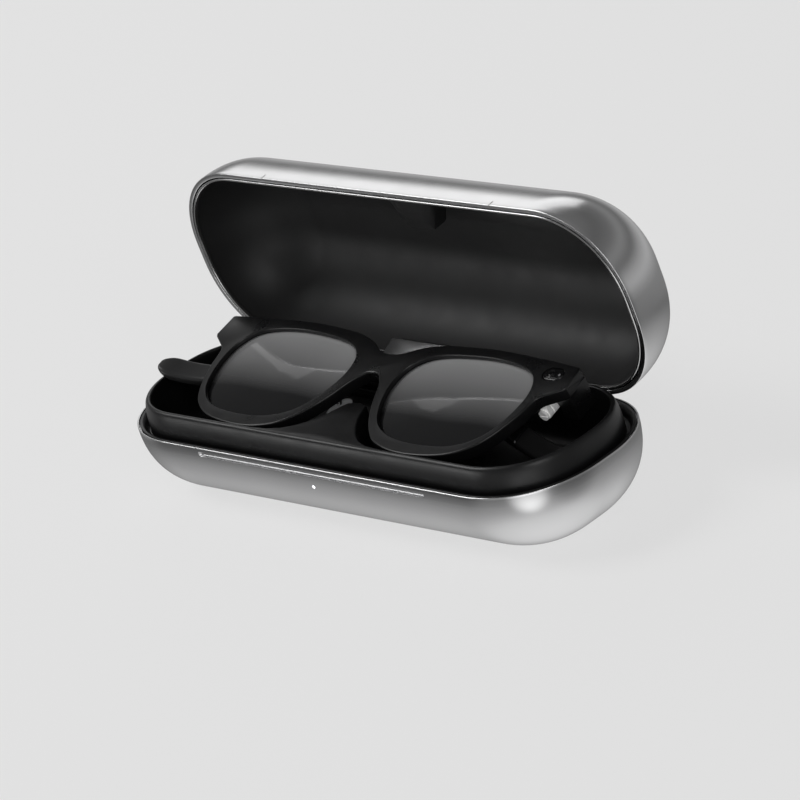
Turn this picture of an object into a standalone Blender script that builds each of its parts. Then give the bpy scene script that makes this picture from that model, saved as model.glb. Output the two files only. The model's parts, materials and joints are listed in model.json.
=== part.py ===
"""Smart glasses stowed in their open charging case.

The case is a capsule of two metal shells on a barrel hinge. The glasses lie face up in a black
tray, top edge towards the hinge, with both temples folded beneath the front. Run with
blender --background --python part.py, or from the text editor. Units are metres, +Z is up, and
the origin is the centre of the flat the case rests on.
"""
import math

import bmesh
import bpy
from mathutils import Matrix, Vector

MM = 0.001
GAP = 0.3 * MM                        # clearance between neighbouring pieces

# Case shells: plan outline at the parting line
CASE_HALF_LENGTH = 90.3 * MM
CASE_HALF_DEPTH = 30.3 * MM
CASE_CORNER_RADIUS = 27.6 * MM
CASE_CORNER_POWER = 2.1               # exponent of the corner superellipse
CORNER_STEPS = 9                      # points on each corner of an outline

# Case shells: section curve (depth, inset, exponent), where it turns into a parabola, and
# the inset at which it reaches the flat
BASE_CURVE = (26.55 * MM, 36.3 * MM, 2.32)
BASE_BLEND = 15.0 * MM
BASE_FLAT = 18.0 * MM
LID_CURVE = (30.5 * MM, 44.0 * MM, 2.45)
LID_BLEND = 18.0 * MM
LID_FLAT = 26.0 * MM
BASE_WALL = 1.6 * MM
RIM_WALL = 0.5 * MM                   # the base wall thins to this beside the tray's lip
LIP_DROP = 1.5 * MM
LID_WALL = 1.4 * MM

# Lid hinge: barrel axis behind and above the parting line, and the opened angle
LID_OPEN_ANGLE = math.radians(84.0)
LID_AXIS_BACK = 29.75 * MM
LID_AXIS_RISE = 2.8 * MM
LID_BARREL_RADIUS = 1.7 * MM
LID_PIN_RADIUS = 0.8 * MM
HINGE_HALF_WIDTH = 21.0 * MM
KNUCKLE_HALF_WIDTH = 9.9 * MM

# Tray
TRAY_BACK_SETBACK = 1.0 * MM          # extra room for the lid's sweep at the back
COLLAR_RISE = 6.8 * MM
TRAY_FLOOR_DROP = 11.0 * MM
TRAY_SKIN = 1.4 * MM
NOSE_TIP_Y = -5.0 * MM                # where the nose rest ends, short of the bridge

# Glasses: pose in the tray, then the front
FRONT_TILT = math.radians(15.87)      # the top edge lies higher than the lower rims
FRONT_BACK = -1.46 * MM
FRONT_RISE = 12.56 * MM               # above the parting line
FRONT_THICKNESS = 4.0 * MM
ENDPIECE_DEPTH = 12.6 * MM
LENS_REBATE = 0.9 * MM

# Temples: hinge axis beside the end-piece, length, and folded angles
TEMPLE_AXIS_X = 64.2 * MM
TEMPLE_AXIS_BEHIND = 7.3 * MM
TEMPLE_LENGTH = 147.0 * MM
TEMPLE_BUTT = 5.7 * MM                 # the bar starts here, behind the end-piece
TEMPLE_DROP = 17.0 * MM                # how far the tip lies below the hinge end
TEMPLE_FOLD_RIGHT = math.radians(91.9)
TEMPLE_FOLD_LEFT = math.radians(87.6)
SLEEVE_START = 118.0 * MM
POCKET_START = 15.0 * MM
POCKET_END = 66.0 * MM
POCKET_DEPTH = 3.0 * MM
COVER_THICKNESS = 0.8 * MM

# Temple hinges: knuckle radius, and the heights between which the three knuckles lie
HINGE_RADIUS = 1.8 * MM
HINGE_LEVELS = (5.5 * MM, 7.2 * MM, 7.5 * MM, 9.8 * MM, 10.1 * MM, 11.8 * MM)
HINGE_BORE = 1.1 * MM

# Charging contacts under the lower rims
CONTACT_X = 30.0 * MM
CONTACT_Y = -21.5 * MM
PIN_RADIUS = 0.7 * MM

# Finger groove and status light in the front wall, below the parting line
GRIP_HALF = 47.3 * MM
GRIP_DROP = 2.8 * MM
GRIP_HEIGHT = 1.5 * MM
GRIP_DEPTH = 0.6 * MM
LED_DROP = 6.4 * MM
LED_RADIUS = 0.6 * MM

# Port and pairing button in the back wall
PORT_HALF_WIDTH = 4.47 * MM
PORT_HALF_HEIGHT = 1.6 * MM
PORT_Z = 9.0 * MM
PAIR_BUTTON_X = 20.0 * MM
PAIR_BUTTON_Z = 12.0 * MM
PAIR_BUTTON_RADIUS = 2.2 * MM
PAIR_BUTTON_SLOPE = math.radians(24.0)


# ---------------------------------------------------------------- scene and materials
def clear_scene():
    for item in list(bpy.data.objects):
        bpy.data.objects.remove(item, do_unlink=True)


def material(name, colour, roughness, metallic=0.0, transmission=0.0):
    made = bpy.data.materials.get(name)
    if made:
        return made
    made = bpy.data.materials.new(name)
    made.use_nodes = True
    made.diffuse_color = (*colour, 1.0)
    shader = made.node_tree.nodes["Principled BSDF"]
    shader.inputs["Base Color"].default_value = (*colour, 1.0)
    shader.inputs["Roughness"].default_value = roughness
    shader.inputs["Metallic"].default_value = metallic
    shader.inputs["Transmission Weight"].default_value = transmission
    return made


SATIN_SILVER = ("satin_silver", (0.72, 0.72, 0.73), 0.3, 1.0)
BRIGHT_STEEL = ("bright_steel", (0.8, 0.8, 0.8), 0.2, 1.0)
GOLD_PLATE = ("gold_plate", (0.83, 0.62, 0.27), 0.25, 1.0)
TRAY_BLACK = ("tray_black", (0.02, 0.02, 0.022), 0.5)
FRAME_BLACK = ("frame_black", (0.03, 0.03, 0.032), 0.4)
SLEEVE_BLACK = ("sleeve_black", (0.015, 0.015, 0.016), 0.6)
LENS_GREY = ("lens_grey", (0.35, 0.35, 0.36), 0.05, 0.0, 0.8)
CLEAR_SILICONE = ("clear_silicone", (0.9, 0.9, 0.9), 0.2, 0.0, 0.9)
WINDOW_BLACK = ("window_black", (0.005, 0.005, 0.006), 0.04)
BOARD_GREEN = ("board_green", (0.02, 0.12, 0.06), 0.5)
CELL_GREY = ("cell_grey", (0.45, 0.46, 0.48), 0.4)
LIGHT_WHITE = ("light_white", (0.95, 0.95, 0.95), 0.3)


# ---------------------------------------------------------------- mesh helpers
def make_object(name, mesh_data, finish, parent=None, smooth_angle=35.0):
    """Turn a bmesh into a named object with its own material, shaded smooth."""
    bmesh.ops.recalc_face_normals(mesh_data, faces=mesh_data.faces)
    mesh = bpy.data.meshes.new(name)
    mesh_data.to_mesh(mesh)
    mesh_data.free()
    mesh.shade_smooth()
    mesh.set_sharp_from_angle(angle=math.radians(smooth_angle))
    if finish:
        mesh.materials.append(material(*finish))
    made = bpy.data.objects.new(name, mesh)
    bpy.context.collection.objects.link(made)
    made.parent = parent
    return made


def make_guide(name, mesh_data, parent=None):
    """An operand for a Boolean, which is not a piece of the object."""
    made = make_object(name, mesh_data, None, parent)
    made.hide_render = True
    made.display_type = "WIRE"
    return made


def make_empty(name, location, parent=None, rotation=None):
    made = bpy.data.objects.new(name, None)
    bpy.context.collection.objects.link(made)
    made.parent = parent
    made.location = location
    if rotation:
        made.rotation_euler = rotation
    return made


def boolean(target, operand, operation):
    step = target.modifiers.new(operand.name, "BOOLEAN")
    step.operation = operation
    step.solver = "EXACT"
    step.object = operand


def cut(target, *guides):
    for guide in guides:
        boolean(target, guide, "DIFFERENCE")


def unite(target, *guides):
    for guide in guides:
        boolean(target, guide, "UNION")


def loft(rings, looped=False):
    """Skin a list of equal rings; the two ends are capped, or joined when looped."""
    data = bmesh.new()
    rows = [[data.verts.new(point) for point in ring] for ring in rings]
    count = len(rows[0])
    pairs = list(zip(rows, rows[1:]))
    if looped:
        pairs.append((rows[-1], rows[0]))
    for lower, upper in pairs:
        for k in range(count):
            after = (k + 1) % count
            data.faces.new((lower[k], lower[after], upper[after], upper[k]))
    if not looped:
        data.faces.new(rows[0])
        data.faces.new(rows[-1])
    return data


def box(low, high):
    x0, y0, z0 = low
    x1, y1, z1 = high
    corners = ((x0, y0), (x1, y0), (x1, y1), (x0, y1))
    return loft([[Vector((x, y, z)) for x, y in corners] for z in (z0, z1)])


def rod(start, end, radius, sides=20, end_radius=None):
    """A straight round bar from start to end."""
    start = Vector(start)
    end = Vector(end)
    turn = Vector((0, 0, 1)).rotation_difference(end - start).to_matrix()
    rings = []
    for centre, size in ((start, radius), (end, end_radius or radius)):
        ring = []
        for k in range(sides):
            angle = 2 * math.pi * k / sides
            flat = Vector((size * math.cos(angle), size * math.sin(angle), 0))
            ring.append(centre + turn @ flat)
        rings.append(ring)
    return loft(rings)


def pill(centre, half_length, half_width, low, high, sides=20):
    """An upright block with round ends, long in X."""
    rings = []
    reach = half_length - half_width
    for z in (low, high):
        ring = []
        for k in range(sides):
            angle = 2 * math.pi * (k + 0.5) / sides
            side = reach if math.cos(angle) > 0 else -reach
            x = centre[0] + side + half_width * math.cos(angle)
            ring.append(Vector((x, centre[1] + half_width * math.sin(angle), z)))
        rings.append(ring)
    return loft(rings)


def moved(data, matrix):
    bmesh.ops.transform(data, matrix=matrix, verts=data.verts)
    return data


def closed_curve(points, steps):
    """Points along a smooth closed curve through the given corners."""
    count = len(points)
    curve = []
    for k in range(count):
        a, b, c, d = (Vector(points[(k + n) % count]) for n in (-1, 0, 1, 2))
        for step in range(steps):
            t = step / steps
            curve.append(0.5 * ((2 * b) + (c - a) * t + (2 * a - 5 * b + 4 * c - d) * t * t
                                + (3 * b - a - 3 * c + d) * t ** 3))
    return curve


def grown(outline, amount):
    """Offset a counter-clockwise outline outwards by amount."""
    count = len(outline)
    result = []
    for k in range(count):
        along = outline[(k + 1) % count] - outline[k - 1]
        normal = Vector((along.y, -along.x)).normalized()
        result.append(outline[k] + normal * amount)
    return result


def at_height(outline, z):
    return [Vector((point.x, point.y, z)) for point in outline]


# ---------------------------------------------------------------- case outlines
def section_curve(curve, blend, flat, steps):
    """(inset, depth) pairs of a shell's section, from the parting line to its flat."""
    depth, inset, power = curve

    def depth_at(distance):
        return depth * (1 - (1 - distance / inset) ** power) ** (1 / power)

    blend_depth = depth_at(blend)
    pairs = []
    for k in range(steps):
        share = math.sin(0.5 * math.pi * k / steps)
        drop = blend_depth * share
        pairs.append((inset * (1 - (1 - (drop / depth) ** power) ** (1 / power)), drop))
    tiny = 0.01 * MM
    slope = (depth_at(blend + tiny) - depth_at(blend - tiny)) / (2 * tiny)
    reach = flat - blend
    for k in range(4):
        run = reach * k / 3
        pairs.append((blend + run, blend_depth + slope * (run - run * run / (2 * reach))))
    return pairs


def offset_section(pairs, amount):
    """The same section moved inwards, square to itself."""
    result = []
    for k, (inset, drop) in enumerate(pairs):
        before = pairs[max(k - 1, 0)]
        after = pairs[min(k + 1, len(pairs) - 1)]
        run = Vector((after[0] - before[0], after[1] - before[1])).normalized()
        if k == 0:
            run = Vector((0, 1))
        if k == len(pairs) - 1:
            run = Vector((1, 0))
        result.append((inset + run.y * amount, drop - run.x * amount))
    return result


def case_ring(inset, z, setback=0.0, steps=CORNER_STEPS):
    """The case's plan outline, moved inwards by inset, with a further setback at the back."""
    half_x = CASE_HALF_LENGTH - inset
    half_y = CASE_HALF_DEPTH - inset - setback / 2
    radius = min(CASE_CORNER_RADIUS - inset, half_y - 0.05 * MM)
    ring = []
    for side_x, side_y, start in ((1, 1, 0), (-1, 1, 1), (-1, -1, 2), (1, -1, 3)):
        for k in range(steps):
            angle = (start + k / (steps - 1)) * math.pi / 2
            cosine = math.cos(angle)
            sine = math.sin(angle)
            x = math.copysign(abs(cosine) ** (2 / CASE_CORNER_POWER), side_x)
            y = math.copysign(abs(sine) ** (2 / CASE_CORNER_POWER), side_y)
            ring.append(Vector((side_x * (half_x - radius) + radius * x,
                                side_y * (half_y - radius) + radius * y - setback / 2, z)))
    return ring


BASE_SECTION = section_curve(BASE_CURVE, BASE_BLEND, BASE_FLAT, 7)
LID_SECTION = section_curve(LID_CURVE, LID_BLEND, LID_FLAT, 7)
RIM_Z = BASE_SECTION[-1][1]                     # height of the parting line
LID_RIM_Z = RIM_Z + GAP
LID_AXIS_Z = RIM_Z + LID_AXIS_RISE
LED_Z = RIM_Z - LED_DROP
TRAY_FLOOR_Z = RIM_Z - TRAY_FLOOR_DROP
COLLAR_Z = RIM_Z + COLLAR_RISE


def inset_at(pairs, drop):
    """The inset of a section where it has the given depth."""
    for (inset_a, drop_a), (inset_b, drop_b) in zip(pairs, pairs[1:]):
        if drop_a <= drop <= drop_b:
            return inset_a + (inset_b - inset_a) * (drop - drop_a) / (drop_b - drop_a)
    return pairs[-1][0]


# ---------------------------------------------------------------- case base
def build_base_shell():
    inner = offset_section(BASE_SECTION, BASE_WALL)
    rings = [case_ring(inset, RIM_Z - drop) for inset, drop in reversed(BASE_SECTION)]
    rings += [case_ring(RIM_WALL, RIM_Z), case_ring(RIM_WALL, RIM_Z - LIP_DROP)]
    rings += [case_ring(inset, RIM_Z - drop) for inset, drop in inner if drop > LIP_DROP]
    shell = make_object("base_shell", loft(rings), SATIN_SILVER)

    slot = pill((0, 0), PORT_HALF_WIDTH + GAP, PORT_HALF_HEIGHT + GAP, 0, 12 * MM)
    stand = Matrix.Translation((0, 20 * MM, PORT_Z)) @ Matrix.Rotation(-math.pi / 2, 4, "X")
    light = rod((0, -32 * MM, LED_Z), (0, -26 * MM, LED_Z), LED_RADIUS + GAP, 16)
    press = rod(pair_button_point(-6 * MM), pair_button_point(4 * MM),
                PAIR_BUTTON_RADIUS + GAP)
    groove = box((-GRIP_HALF, -CASE_HALF_DEPTH - 1 * MM, RIM_Z - GRIP_DROP),
                 (GRIP_HALF, -CASE_HALF_DEPTH + GRIP_DEPTH, RIM_Z - GRIP_DROP + GRIP_HEIGHT))
    cut(shell, make_guide("cut_port", moved(slot, stand)), make_guide("cut_light", light),
        make_guide("cut_pair_button", press), make_guide("cut_grip_groove", groove))


def pair_button_point(outwards):
    """A point on the pairing button's axis, measured outwards from the shell's surface."""
    surface = CASE_HALF_DEPTH - inset_at(BASE_SECTION, RIM_Z - PAIR_BUTTON_Z)
    axis = Vector((0, math.cos(PAIR_BUTTON_SLOPE), -math.sin(PAIR_BUTTON_SLOPE)))
    return Vector((PAIR_BUTTON_X, surface, PAIR_BUTTON_Z)) + axis * outwards


def build_tray():
    """Collar, flange and cavity as one moulding; each pair is inset and height."""
    flange = BASE_WALL + GAP + 0.1 * MM
    under = ((8.5 * MM, TRAY_FLOOR_Z - TRAY_SKIN), (6.4 * MM, TRAY_FLOOR_Z + 1 * MM),
             (5.0 * MM, RIM_Z - 4.6 * MM))
    outer = ((3.4 * MM, RIM_Z - 2.6 * MM), (3.5 * MM, RIM_Z + 1 * MM),
             (4.1 * MM, COLLAR_Z - 1.4 * MM), (4.5 * MM, COLLAR_Z - 0.3 * MM),
             (5.1 * MM, COLLAR_Z), (5.7 * MM, COLLAR_Z - 0.3 * MM))
    inner = ((5.9 * MM, COLLAR_Z - 1.4 * MM), (6.0 * MM, RIM_Z), (6.3 * MM, RIM_Z - 5 * MM),
             (7.8 * MM, TRAY_FLOOR_Z + 1.5 * MM), (10 * MM, TRAY_FLOOR_Z))
    rings = [case_ring(inset, z, TRAY_BACK_SETBACK) for inset, z in under]
    lip = ((flange + 0.25 * MM, -4.2 * MM), (flange, -1.2 * MM), (RIM_WALL + GAP, -1.2 * MM),
           (RIM_WALL + GAP, 0.0), (1.5 * MM, 0.0), (2.7 * MM, -1.4 * MM),
           (2.9 * MM, -2.5 * MM))
    rings += [case_ring(inset, RIM_Z + rise) for inset, rise in lip]
    rings += [case_ring(inset, z, TRAY_BACK_SETBACK) for inset, z in outer + inner]
    tray = make_object("base_tray", loft(rings), TRAY_BLACK)
    relief = box((-HINGE_HALF_WIDTH - 1 * MM, 25.7 * MM, RIM_Z - 5 * MM),
                 (HINGE_HALF_WIDTH + 1 * MM, 32 * MM, RIM_Z + 1 * MM))
    cut(tray, make_guide("cut_tray_hinge", relief))


def nose_half_width(y):
    """Half width of the nose rest, which narrows from the collar towards the bridge."""
    share = min(max((y + 24.1 * MM) / (26.1 * MM), 0.0), 1.0)
    return 3.0 * MM + 16.0 * MM * (1 - share) ** 2.9


def nose_rise(y):
    """Height of the nose rest above the parting line, which climbs towards the bridge."""
    climb = ease((y + 21.0 * MM) / (15.0 * MM))
    return 6.5 * MM + 4.3 * MM * climb


def build_nose_rest():
    front = -23.6 * MM
    floor = TRAY_FLOOR_Z + GAP
    slope_from = -19.0 * MM
    edge = 1.0 * MM
    rings = []
    for y in spread(front, NOSE_TIP_Y, 9):
        half = nose_half_width(y)
        foot = half + 1.5 * MM
        low = floor + 6.4 * MM * max(0.0, (slope_from - y) / (slope_from - front))
        top = RIM_Z + nose_rise(y)
        rings.append([Vector((x, y, z)) for x, z in (
            (-foot, low), (foot, low), (half, top - edge), (half - 0.3 * edge, top - 0.3 * edge),
            (half - edge, top), (edge - half, top), (0.3 * edge - half, top - 0.3 * edge),
            (-half, top - edge))])
    rest = make_object("nose_rest", loft(rings), TRAY_BLACK)
    pocket = box((-6.3 * MM, -22.5 * MM, floor - 1 * MM),
                 (6.3 * MM, -18 * MM, RIM_Z + 4.5 * MM))
    cut(rest, make_guide("cut_base_magnet", pocket))
    make_object("base_magnet", box((-6 * MM, -22.2 * MM, RIM_Z + 1.5 * MM),
                                   (6 * MM, -18.3 * MM, RIM_Z + 4.2 * MM)), BRIGHT_STEEL)


def build_hinge_cover():
    """Bright wedge over the hinge, sloping down towards the glasses."""
    section = ((18.6 * MM, RIM_Z + 7.3 * MM), (24.6 * MM, RIM_Z + 7.3 * MM),
               (24.6 * MM, RIM_Z + 12.0 * MM), (24.2 * MM, RIM_Z + 12.3 * MM),
               (18.6 * MM, RIM_Z + 9.7 * MM))
    half = 14.2 * MM
    rings = [[Vector((x, y, z)) for y, z in section] for x in (-half, half)]
    make_object("hinge_cover", loft(rings), SATIN_SILVER)


def build_base_hardware():
    inside = BASE_WALL + 0.9 * MM
    make_object("case_battery", box((-45 * MM, -11 * MM, inside),
                                    (45 * MM, 11 * MM, inside + 7.4 * MM)), CELL_GREY)
    make_object("base_weight", box((-50 * MM, -18.4 * MM, 5.6 * MM),
                                   (50 * MM, -11.6 * MM, 10.8 * MM)), BRIGHT_STEEL)
    board_z = PORT_Z - PORT_HALF_HEIGHT - 1.3 * MM
    make_object("charge_board", box((-22 * MM, 11.6 * MM, board_z),
                                    (22 * MM, 18.6 * MM, board_z + 1 * MM)), BOARD_GREEN)

    port_back = 15.5 * MM
    port_front = CASE_HALF_DEPTH - inset_at(BASE_SECTION, RIM_Z - PORT_Z) - 0.2 * MM
    rings = []
    for y, wall in ((port_back, 0), (port_front, 0), (port_front, 0.3 * MM),
                    (port_back + 0.5 * MM, 0.3 * MM)):
        sleeve = pill((0, 0), PORT_HALF_WIDTH - wall, PORT_HALF_HEIGHT - wall, 0, 1)
        ring = [Vector((v.co.x, y, PORT_Z + v.co.y)) for v in list(sleeve.verts)[:20]]
        sleeve.free()
        rings.append(ring)
    make_object("usb_port", loft(rings), BRIGHT_STEEL)
    make_object("usb_tongue", box((-3.35 * MM, port_back + 0.8 * MM, PORT_Z - 0.35 * MM),
                                  (3.35 * MM, port_front - 1 * MM, PORT_Z + 0.35 * MM)),
                TRAY_BLACK)
    make_object("status_light", rod((0, -CASE_HALF_DEPTH + 0.65 * MM, LED_Z),
                                    (0, -26.9 * MM, LED_Z), LED_RADIUS, 16), LIGHT_WHITE)
    button_at = make_empty("pair_button_axis", pair_button_point(0))
    here = pair_button_point(0)
    cap = moved(rod(pair_button_point(-3.2 * MM), pair_button_point(0.2 * MM),
                    PAIR_BUTTON_RADIUS), Matrix.Translation(-here))
    make_object("pair_button", cap, TRAY_BLACK, button_at)


# ---------------------------------------------------------------- charging pins and posts
def front_point(x, y, behind):
    """A point given in the glasses' own axes: across, up and behind the front's face."""
    cosine = math.cos(FRONT_TILT)
    sine = math.sin(FRONT_TILT)
    return Vector((x, FRONT_BACK + y * cosine + behind * sine,
                   RIM_Z + FRONT_RISE + y * sine - behind * cosine))


def build_charge_pins():
    for name, side in (("left", -1), ("right", 1)):
        x = side * CONTACT_X
        top = FRONT_THICKNESS + 0.35 * MM
        post = make_object("pin_post_" + name,
                           box((x - 4 * MM, -22.8 * MM, RIM_Z - 7.2 * MM),
                               (x + 4 * MM, -17.4 * MM, RIM_Z + 1.8 * MM)), TRAY_BLACK)
        well = rod(front_point(x, CONTACT_Y, top - 3 * MM),
                   front_point(x, CONTACT_Y, top + 5.4 * MM), PIN_RADIUS + GAP, 16)
        cut(post, make_guide("cut_pin_" + name, well))
        here = front_point(x, CONTACT_Y, top)
        axis = make_empty("charge_pin_axis_" + name, here)
        pin = rod(Vector(), front_point(x, CONTACT_Y, top + 4 * MM) - here, PIN_RADIUS, 16)
        make_object("charge_pin_" + name, pin, GOLD_PLATE, axis)


# ---------------------------------------------------------------- lid and its hinge
def make_lid_frame():
    """Empty on the lid's hinge axis, turned to the opened angle."""
    return make_empty("lid_axis", (0, LID_AXIS_BACK, LID_AXIS_Z),
                      rotation=(-LID_OPEN_ANGLE, 0, 0))


TO_LID = Matrix.Translation((0, -LID_AXIS_BACK, -LID_AXIS_Z))


def lid_rings(pairs):
    return [case_ring(inset, LID_RIM_Z + drop) for inset, drop in pairs]


def build_lid(lid_frame):
    barrel_clear = LID_BARREL_RADIUS + 0.4 * MM
    notch_top = LID_AXIS_Z + barrel_clear
    side = HINGE_HALF_WIDTH + 1.3 * MM

    inner = offset_section(LID_SECTION, LID_WALL)
    shell = make_object("lid_shell",
                        moved(loft(lid_rings(list(reversed(LID_SECTION)) + inner)), TO_LID),
                        SATIN_SILVER, lid_frame)
    notch = box((-side, 26.5 * MM, RIM_Z - 2 * MM), (side, 33 * MM, notch_top))
    notch_guide = make_guide("cut_lid_barrel", moved(notch, TO_LID), lid_frame)
    for name, x in (("left", -GRIP_HALF), ("right", GRIP_HALF)):
        tick = box((x - 0.3 * MM, -CASE_HALF_DEPTH - 1 * MM, LID_RIM_Z - 1 * MM),
                   (x + 0.3 * MM, -CASE_HALF_DEPTH + 0.5 * MM, LID_RIM_Z + 2.2 * MM))
        cut(shell, make_guide("cut_lid_tick_" + name, moved(tick, TO_LID), lid_frame))
    cut(shell, notch_guide)

    outside = LID_WALL + GAP + 0.1 * MM
    inside = outside + 0.7 * MM
    trim_top = LID_RIM_Z + 2.6 * MM
    square = ((outside, LID_RIM_Z), (inside, LID_RIM_Z), (inside, trim_top),
              (outside + 0.1 * MM, trim_top))
    trim = make_object("lid_trim",
                       moved(loft([case_ring(inset, z) for inset, z in square], looped=True),
                             TO_LID), BRIGHT_STEEL, lid_frame)
    cut(trim, notch_guide)

    start = trim_top - LID_RIM_Z + GAP
    skin_outer = [(i, d) for i, d in offset_section(LID_SECTION, outside) if d > start]
    skin_inner = [(i, d) for i, d in offset_section(LID_SECTION, inside) if d > start]
    mouth_outer = (outside + inset_at(LID_SECTION, start), start)
    mouth_inner = (inside + inset_at(LID_SECTION, start), start)
    liner_rings = lid_rings(list(reversed(skin_outer)) + [mouth_outer, mouth_inner] + skin_inner)
    liner = make_object("lid_liner", moved(loft(liner_rings), TO_LID), TRAY_BLACK, lid_frame)
    leaf_room = box((-side, 26.5 * MM, RIM_Z), (side, 33 * MM, LID_AXIS_Z + 5.2 * MM))
    cut(liner, make_guide("cut_lid_leaf", moved(leaf_room, TO_LID), lid_frame))
    build_lid_boss(liner, lid_frame)


def build_lid_boss(liner, lid_frame):
    """Tapered boss inside the front wall, holding the magnet and steadying the glasses."""
    sections = ((9.4, -26.9, -22.0), (12.2, -26.0, -10.5), (15.5, -24.4, -9.8),
                (21.0, -20.0, -13.5))
    rings = []
    for rise, wall_y, end_y in sections:
        outline = ((-13.0, wall_y), (-5.5, end_y - 2.5), (-2.5, end_y), (2.5, end_y),
                   (5.5, end_y - 2.5), (13.0, wall_y))
        rings.append([Vector((x * MM, y * MM, RIM_Z + rise * MM)) for x, y in outline])
    unite(liner, make_guide("add_boss", moved(loft(rings), TO_LID), lid_frame))
    low = RIM_Z + 11.4 * MM
    high = RIM_Z + 15.4 * MM
    pocket = box((-5.3 * MM, -29.5 * MM, low), (5.3 * MM, -21.2 * MM, high))
    cut(liner, make_guide("cut_lid_magnet", moved(pocket, TO_LID), lid_frame))
    magnet = box((-5 * MM, -24.9 * MM, low + GAP), (5 * MM, -21.5 * MM, high - GAP))
    make_object("lid_magnet", moved(magnet, TO_LID), BRIGHT_STEEL, lid_frame)


def lid_rod(x0, x1, radius, sides):
    """A round bar on the lid's hinge axis."""
    return rod((x0, LID_AXIS_BACK, LID_AXIS_Z), (x1, LID_AXIS_BACK, LID_AXIS_Z), radius, sides)


def knuckle(x0, x1):
    return lid_rod(x0, x1, LID_BARREL_RADIUS, 20)


def lid_axle(half_length, radius):
    return lid_rod(-half_length, half_length, radius, 16)


def build_lid_hinge(lid_frame):
    split = KNUCKLE_HALF_WIDTH + GAP
    base_leaf = make_object("base_hinge",
                            box((-HINGE_HALF_WIDTH, 26.5 * MM, RIM_Z - 7.5 * MM),
                                (HINGE_HALF_WIDTH, 27.3 * MM, RIM_Z + 0.7 * MM)), BRIGHT_STEEL)
    for name, x0, x1 in (("left", -HINGE_HALF_WIDTH, -split), ("right", split, HINGE_HALF_WIDTH)):
        web = box((x0, 26.5 * MM, RIM_Z + 0.2 * MM),
                  (x1, LID_AXIS_BACK, LID_AXIS_Z - 0.5 * MM))
        unite(base_leaf, make_guide("add_base_web_" + name, web),
              make_guide("add_base_knuckle_" + name, knuckle(x0, x1)))
    bore = make_guide("cut_hinge_bore",
                      lid_axle(HINGE_HALF_WIDTH + 2 * MM, LID_PIN_RADIUS + GAP))
    cut(base_leaf, bore)

    leaf = box((-HINGE_HALF_WIDTH, 26.9 * MM, LID_AXIS_Z + 2.1 * MM),
               (HINGE_HALF_WIDTH, 27.8 * MM, LID_AXIS_Z + 4.5 * MM))
    lid_leaf = make_object("lid_hinge", moved(leaf, TO_LID), BRIGHT_STEEL, lid_frame)
    web = box((-KNUCKLE_HALF_WIDTH, 26.9 * MM, LID_AXIS_Z - 0.4 * MM),
              (KNUCKLE_HALF_WIDTH, 28.6 * MM, LID_AXIS_Z + 2.4 * MM))
    unite(lid_leaf, make_guide("add_lid_web", moved(web, TO_LID), lid_frame),
          make_guide("add_lid_knuckle", moved(knuckle(-KNUCKLE_HALF_WIDTH, KNUCKLE_HALF_WIDTH),
                                              TO_LID), lid_frame))
    cut(lid_leaf, bore)
    make_object("lid_hinge_pin", lid_axle(HINGE_HALF_WIDTH, LID_PIN_RADIUS), BRIGHT_STEEL)


# ---------------------------------------------------------------- glasses front
# Right half of the front's outline, from the top of the bridge to its underside, in mm
FRONT_TOP = ((0, 12.2), (4.5, 13.1), (9.5, 15.9), (15, 17.9), (22, 19.0), (36, 19.9),
             (50, 19.5), (62, 18.8))
FRONT_CORNER = ((72.4, 17.8), (72.9, 9.0))
FRONT_LOWER = ((69.0, 6.7), (66.2, 4.6), (65.1, 1.6), (64.2, -3.0), (61.3, -11.0), (57.0, -17.0),
               (50.0, -21.2), (40.0, -23.1), (30.0, -23.1), (21.7, -21.0), (16.8, -17.6),
               (12.4, -12.6), (8.7, -6.5), (5.8, -0.2), (2.8, 3.5), (0, 4.4))
LENS_POINTS = ((36, 16.4), (20, 14.6), (12.3, 10.2), (10.1, 3.0), (12.0, -5.5), (17.5, -13.8),
               (26.5, -18.0), (38.0, -19.0), (50.0, -17.4), (57.8, -12.0), (61.3, -3.5),
               (61.5, 6.0), (57.5, 12.6), (49.0, 15.6))
CAMERA_X = 64.8 * MM
CAMERA_Y = 13.9 * MM


def smooth_run(points, steps):
    """A smooth open curve through points, which keeps its two ends."""
    padded = [points[0]] + list(points) + [points[-1]]
    curve = []
    for k in range(1, len(padded) - 2):
        a, b, c, d = (Vector(padded[k + n]) for n in (-1, 0, 1, 2))
        for step in range(steps):
            t = step / steps
            curve.append(0.5 * ((2 * b) + (c - a) * t + (2 * a - 5 * b + 4 * c - d) * t * t
                                + (3 * b - a - 3 * c + d) * t ** 3))
    curve.append(Vector(points[-1]))
    return curve


def front_outline():
    """Counter-clockwise outline of the front, in metres."""
    top = smooth_run(FRONT_TOP, 2)
    lower = smooth_run(FRONT_LOWER, 2)
    right = top + [Vector(p) for p in FRONT_CORNER] + lower
    left = [Vector((-p.x, p.y)) for p in right[1:-1]]
    clockwise = right + list(reversed(left))
    return [p * MM for p in reversed(clockwise)]


def lens_outline(side):
    outline = [p * MM for p in closed_curve(LENS_POINTS, 2)]
    if side < 0:
        outline = [Vector((-p.x, p.y)) for p in reversed(outline)]
    return outline


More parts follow.
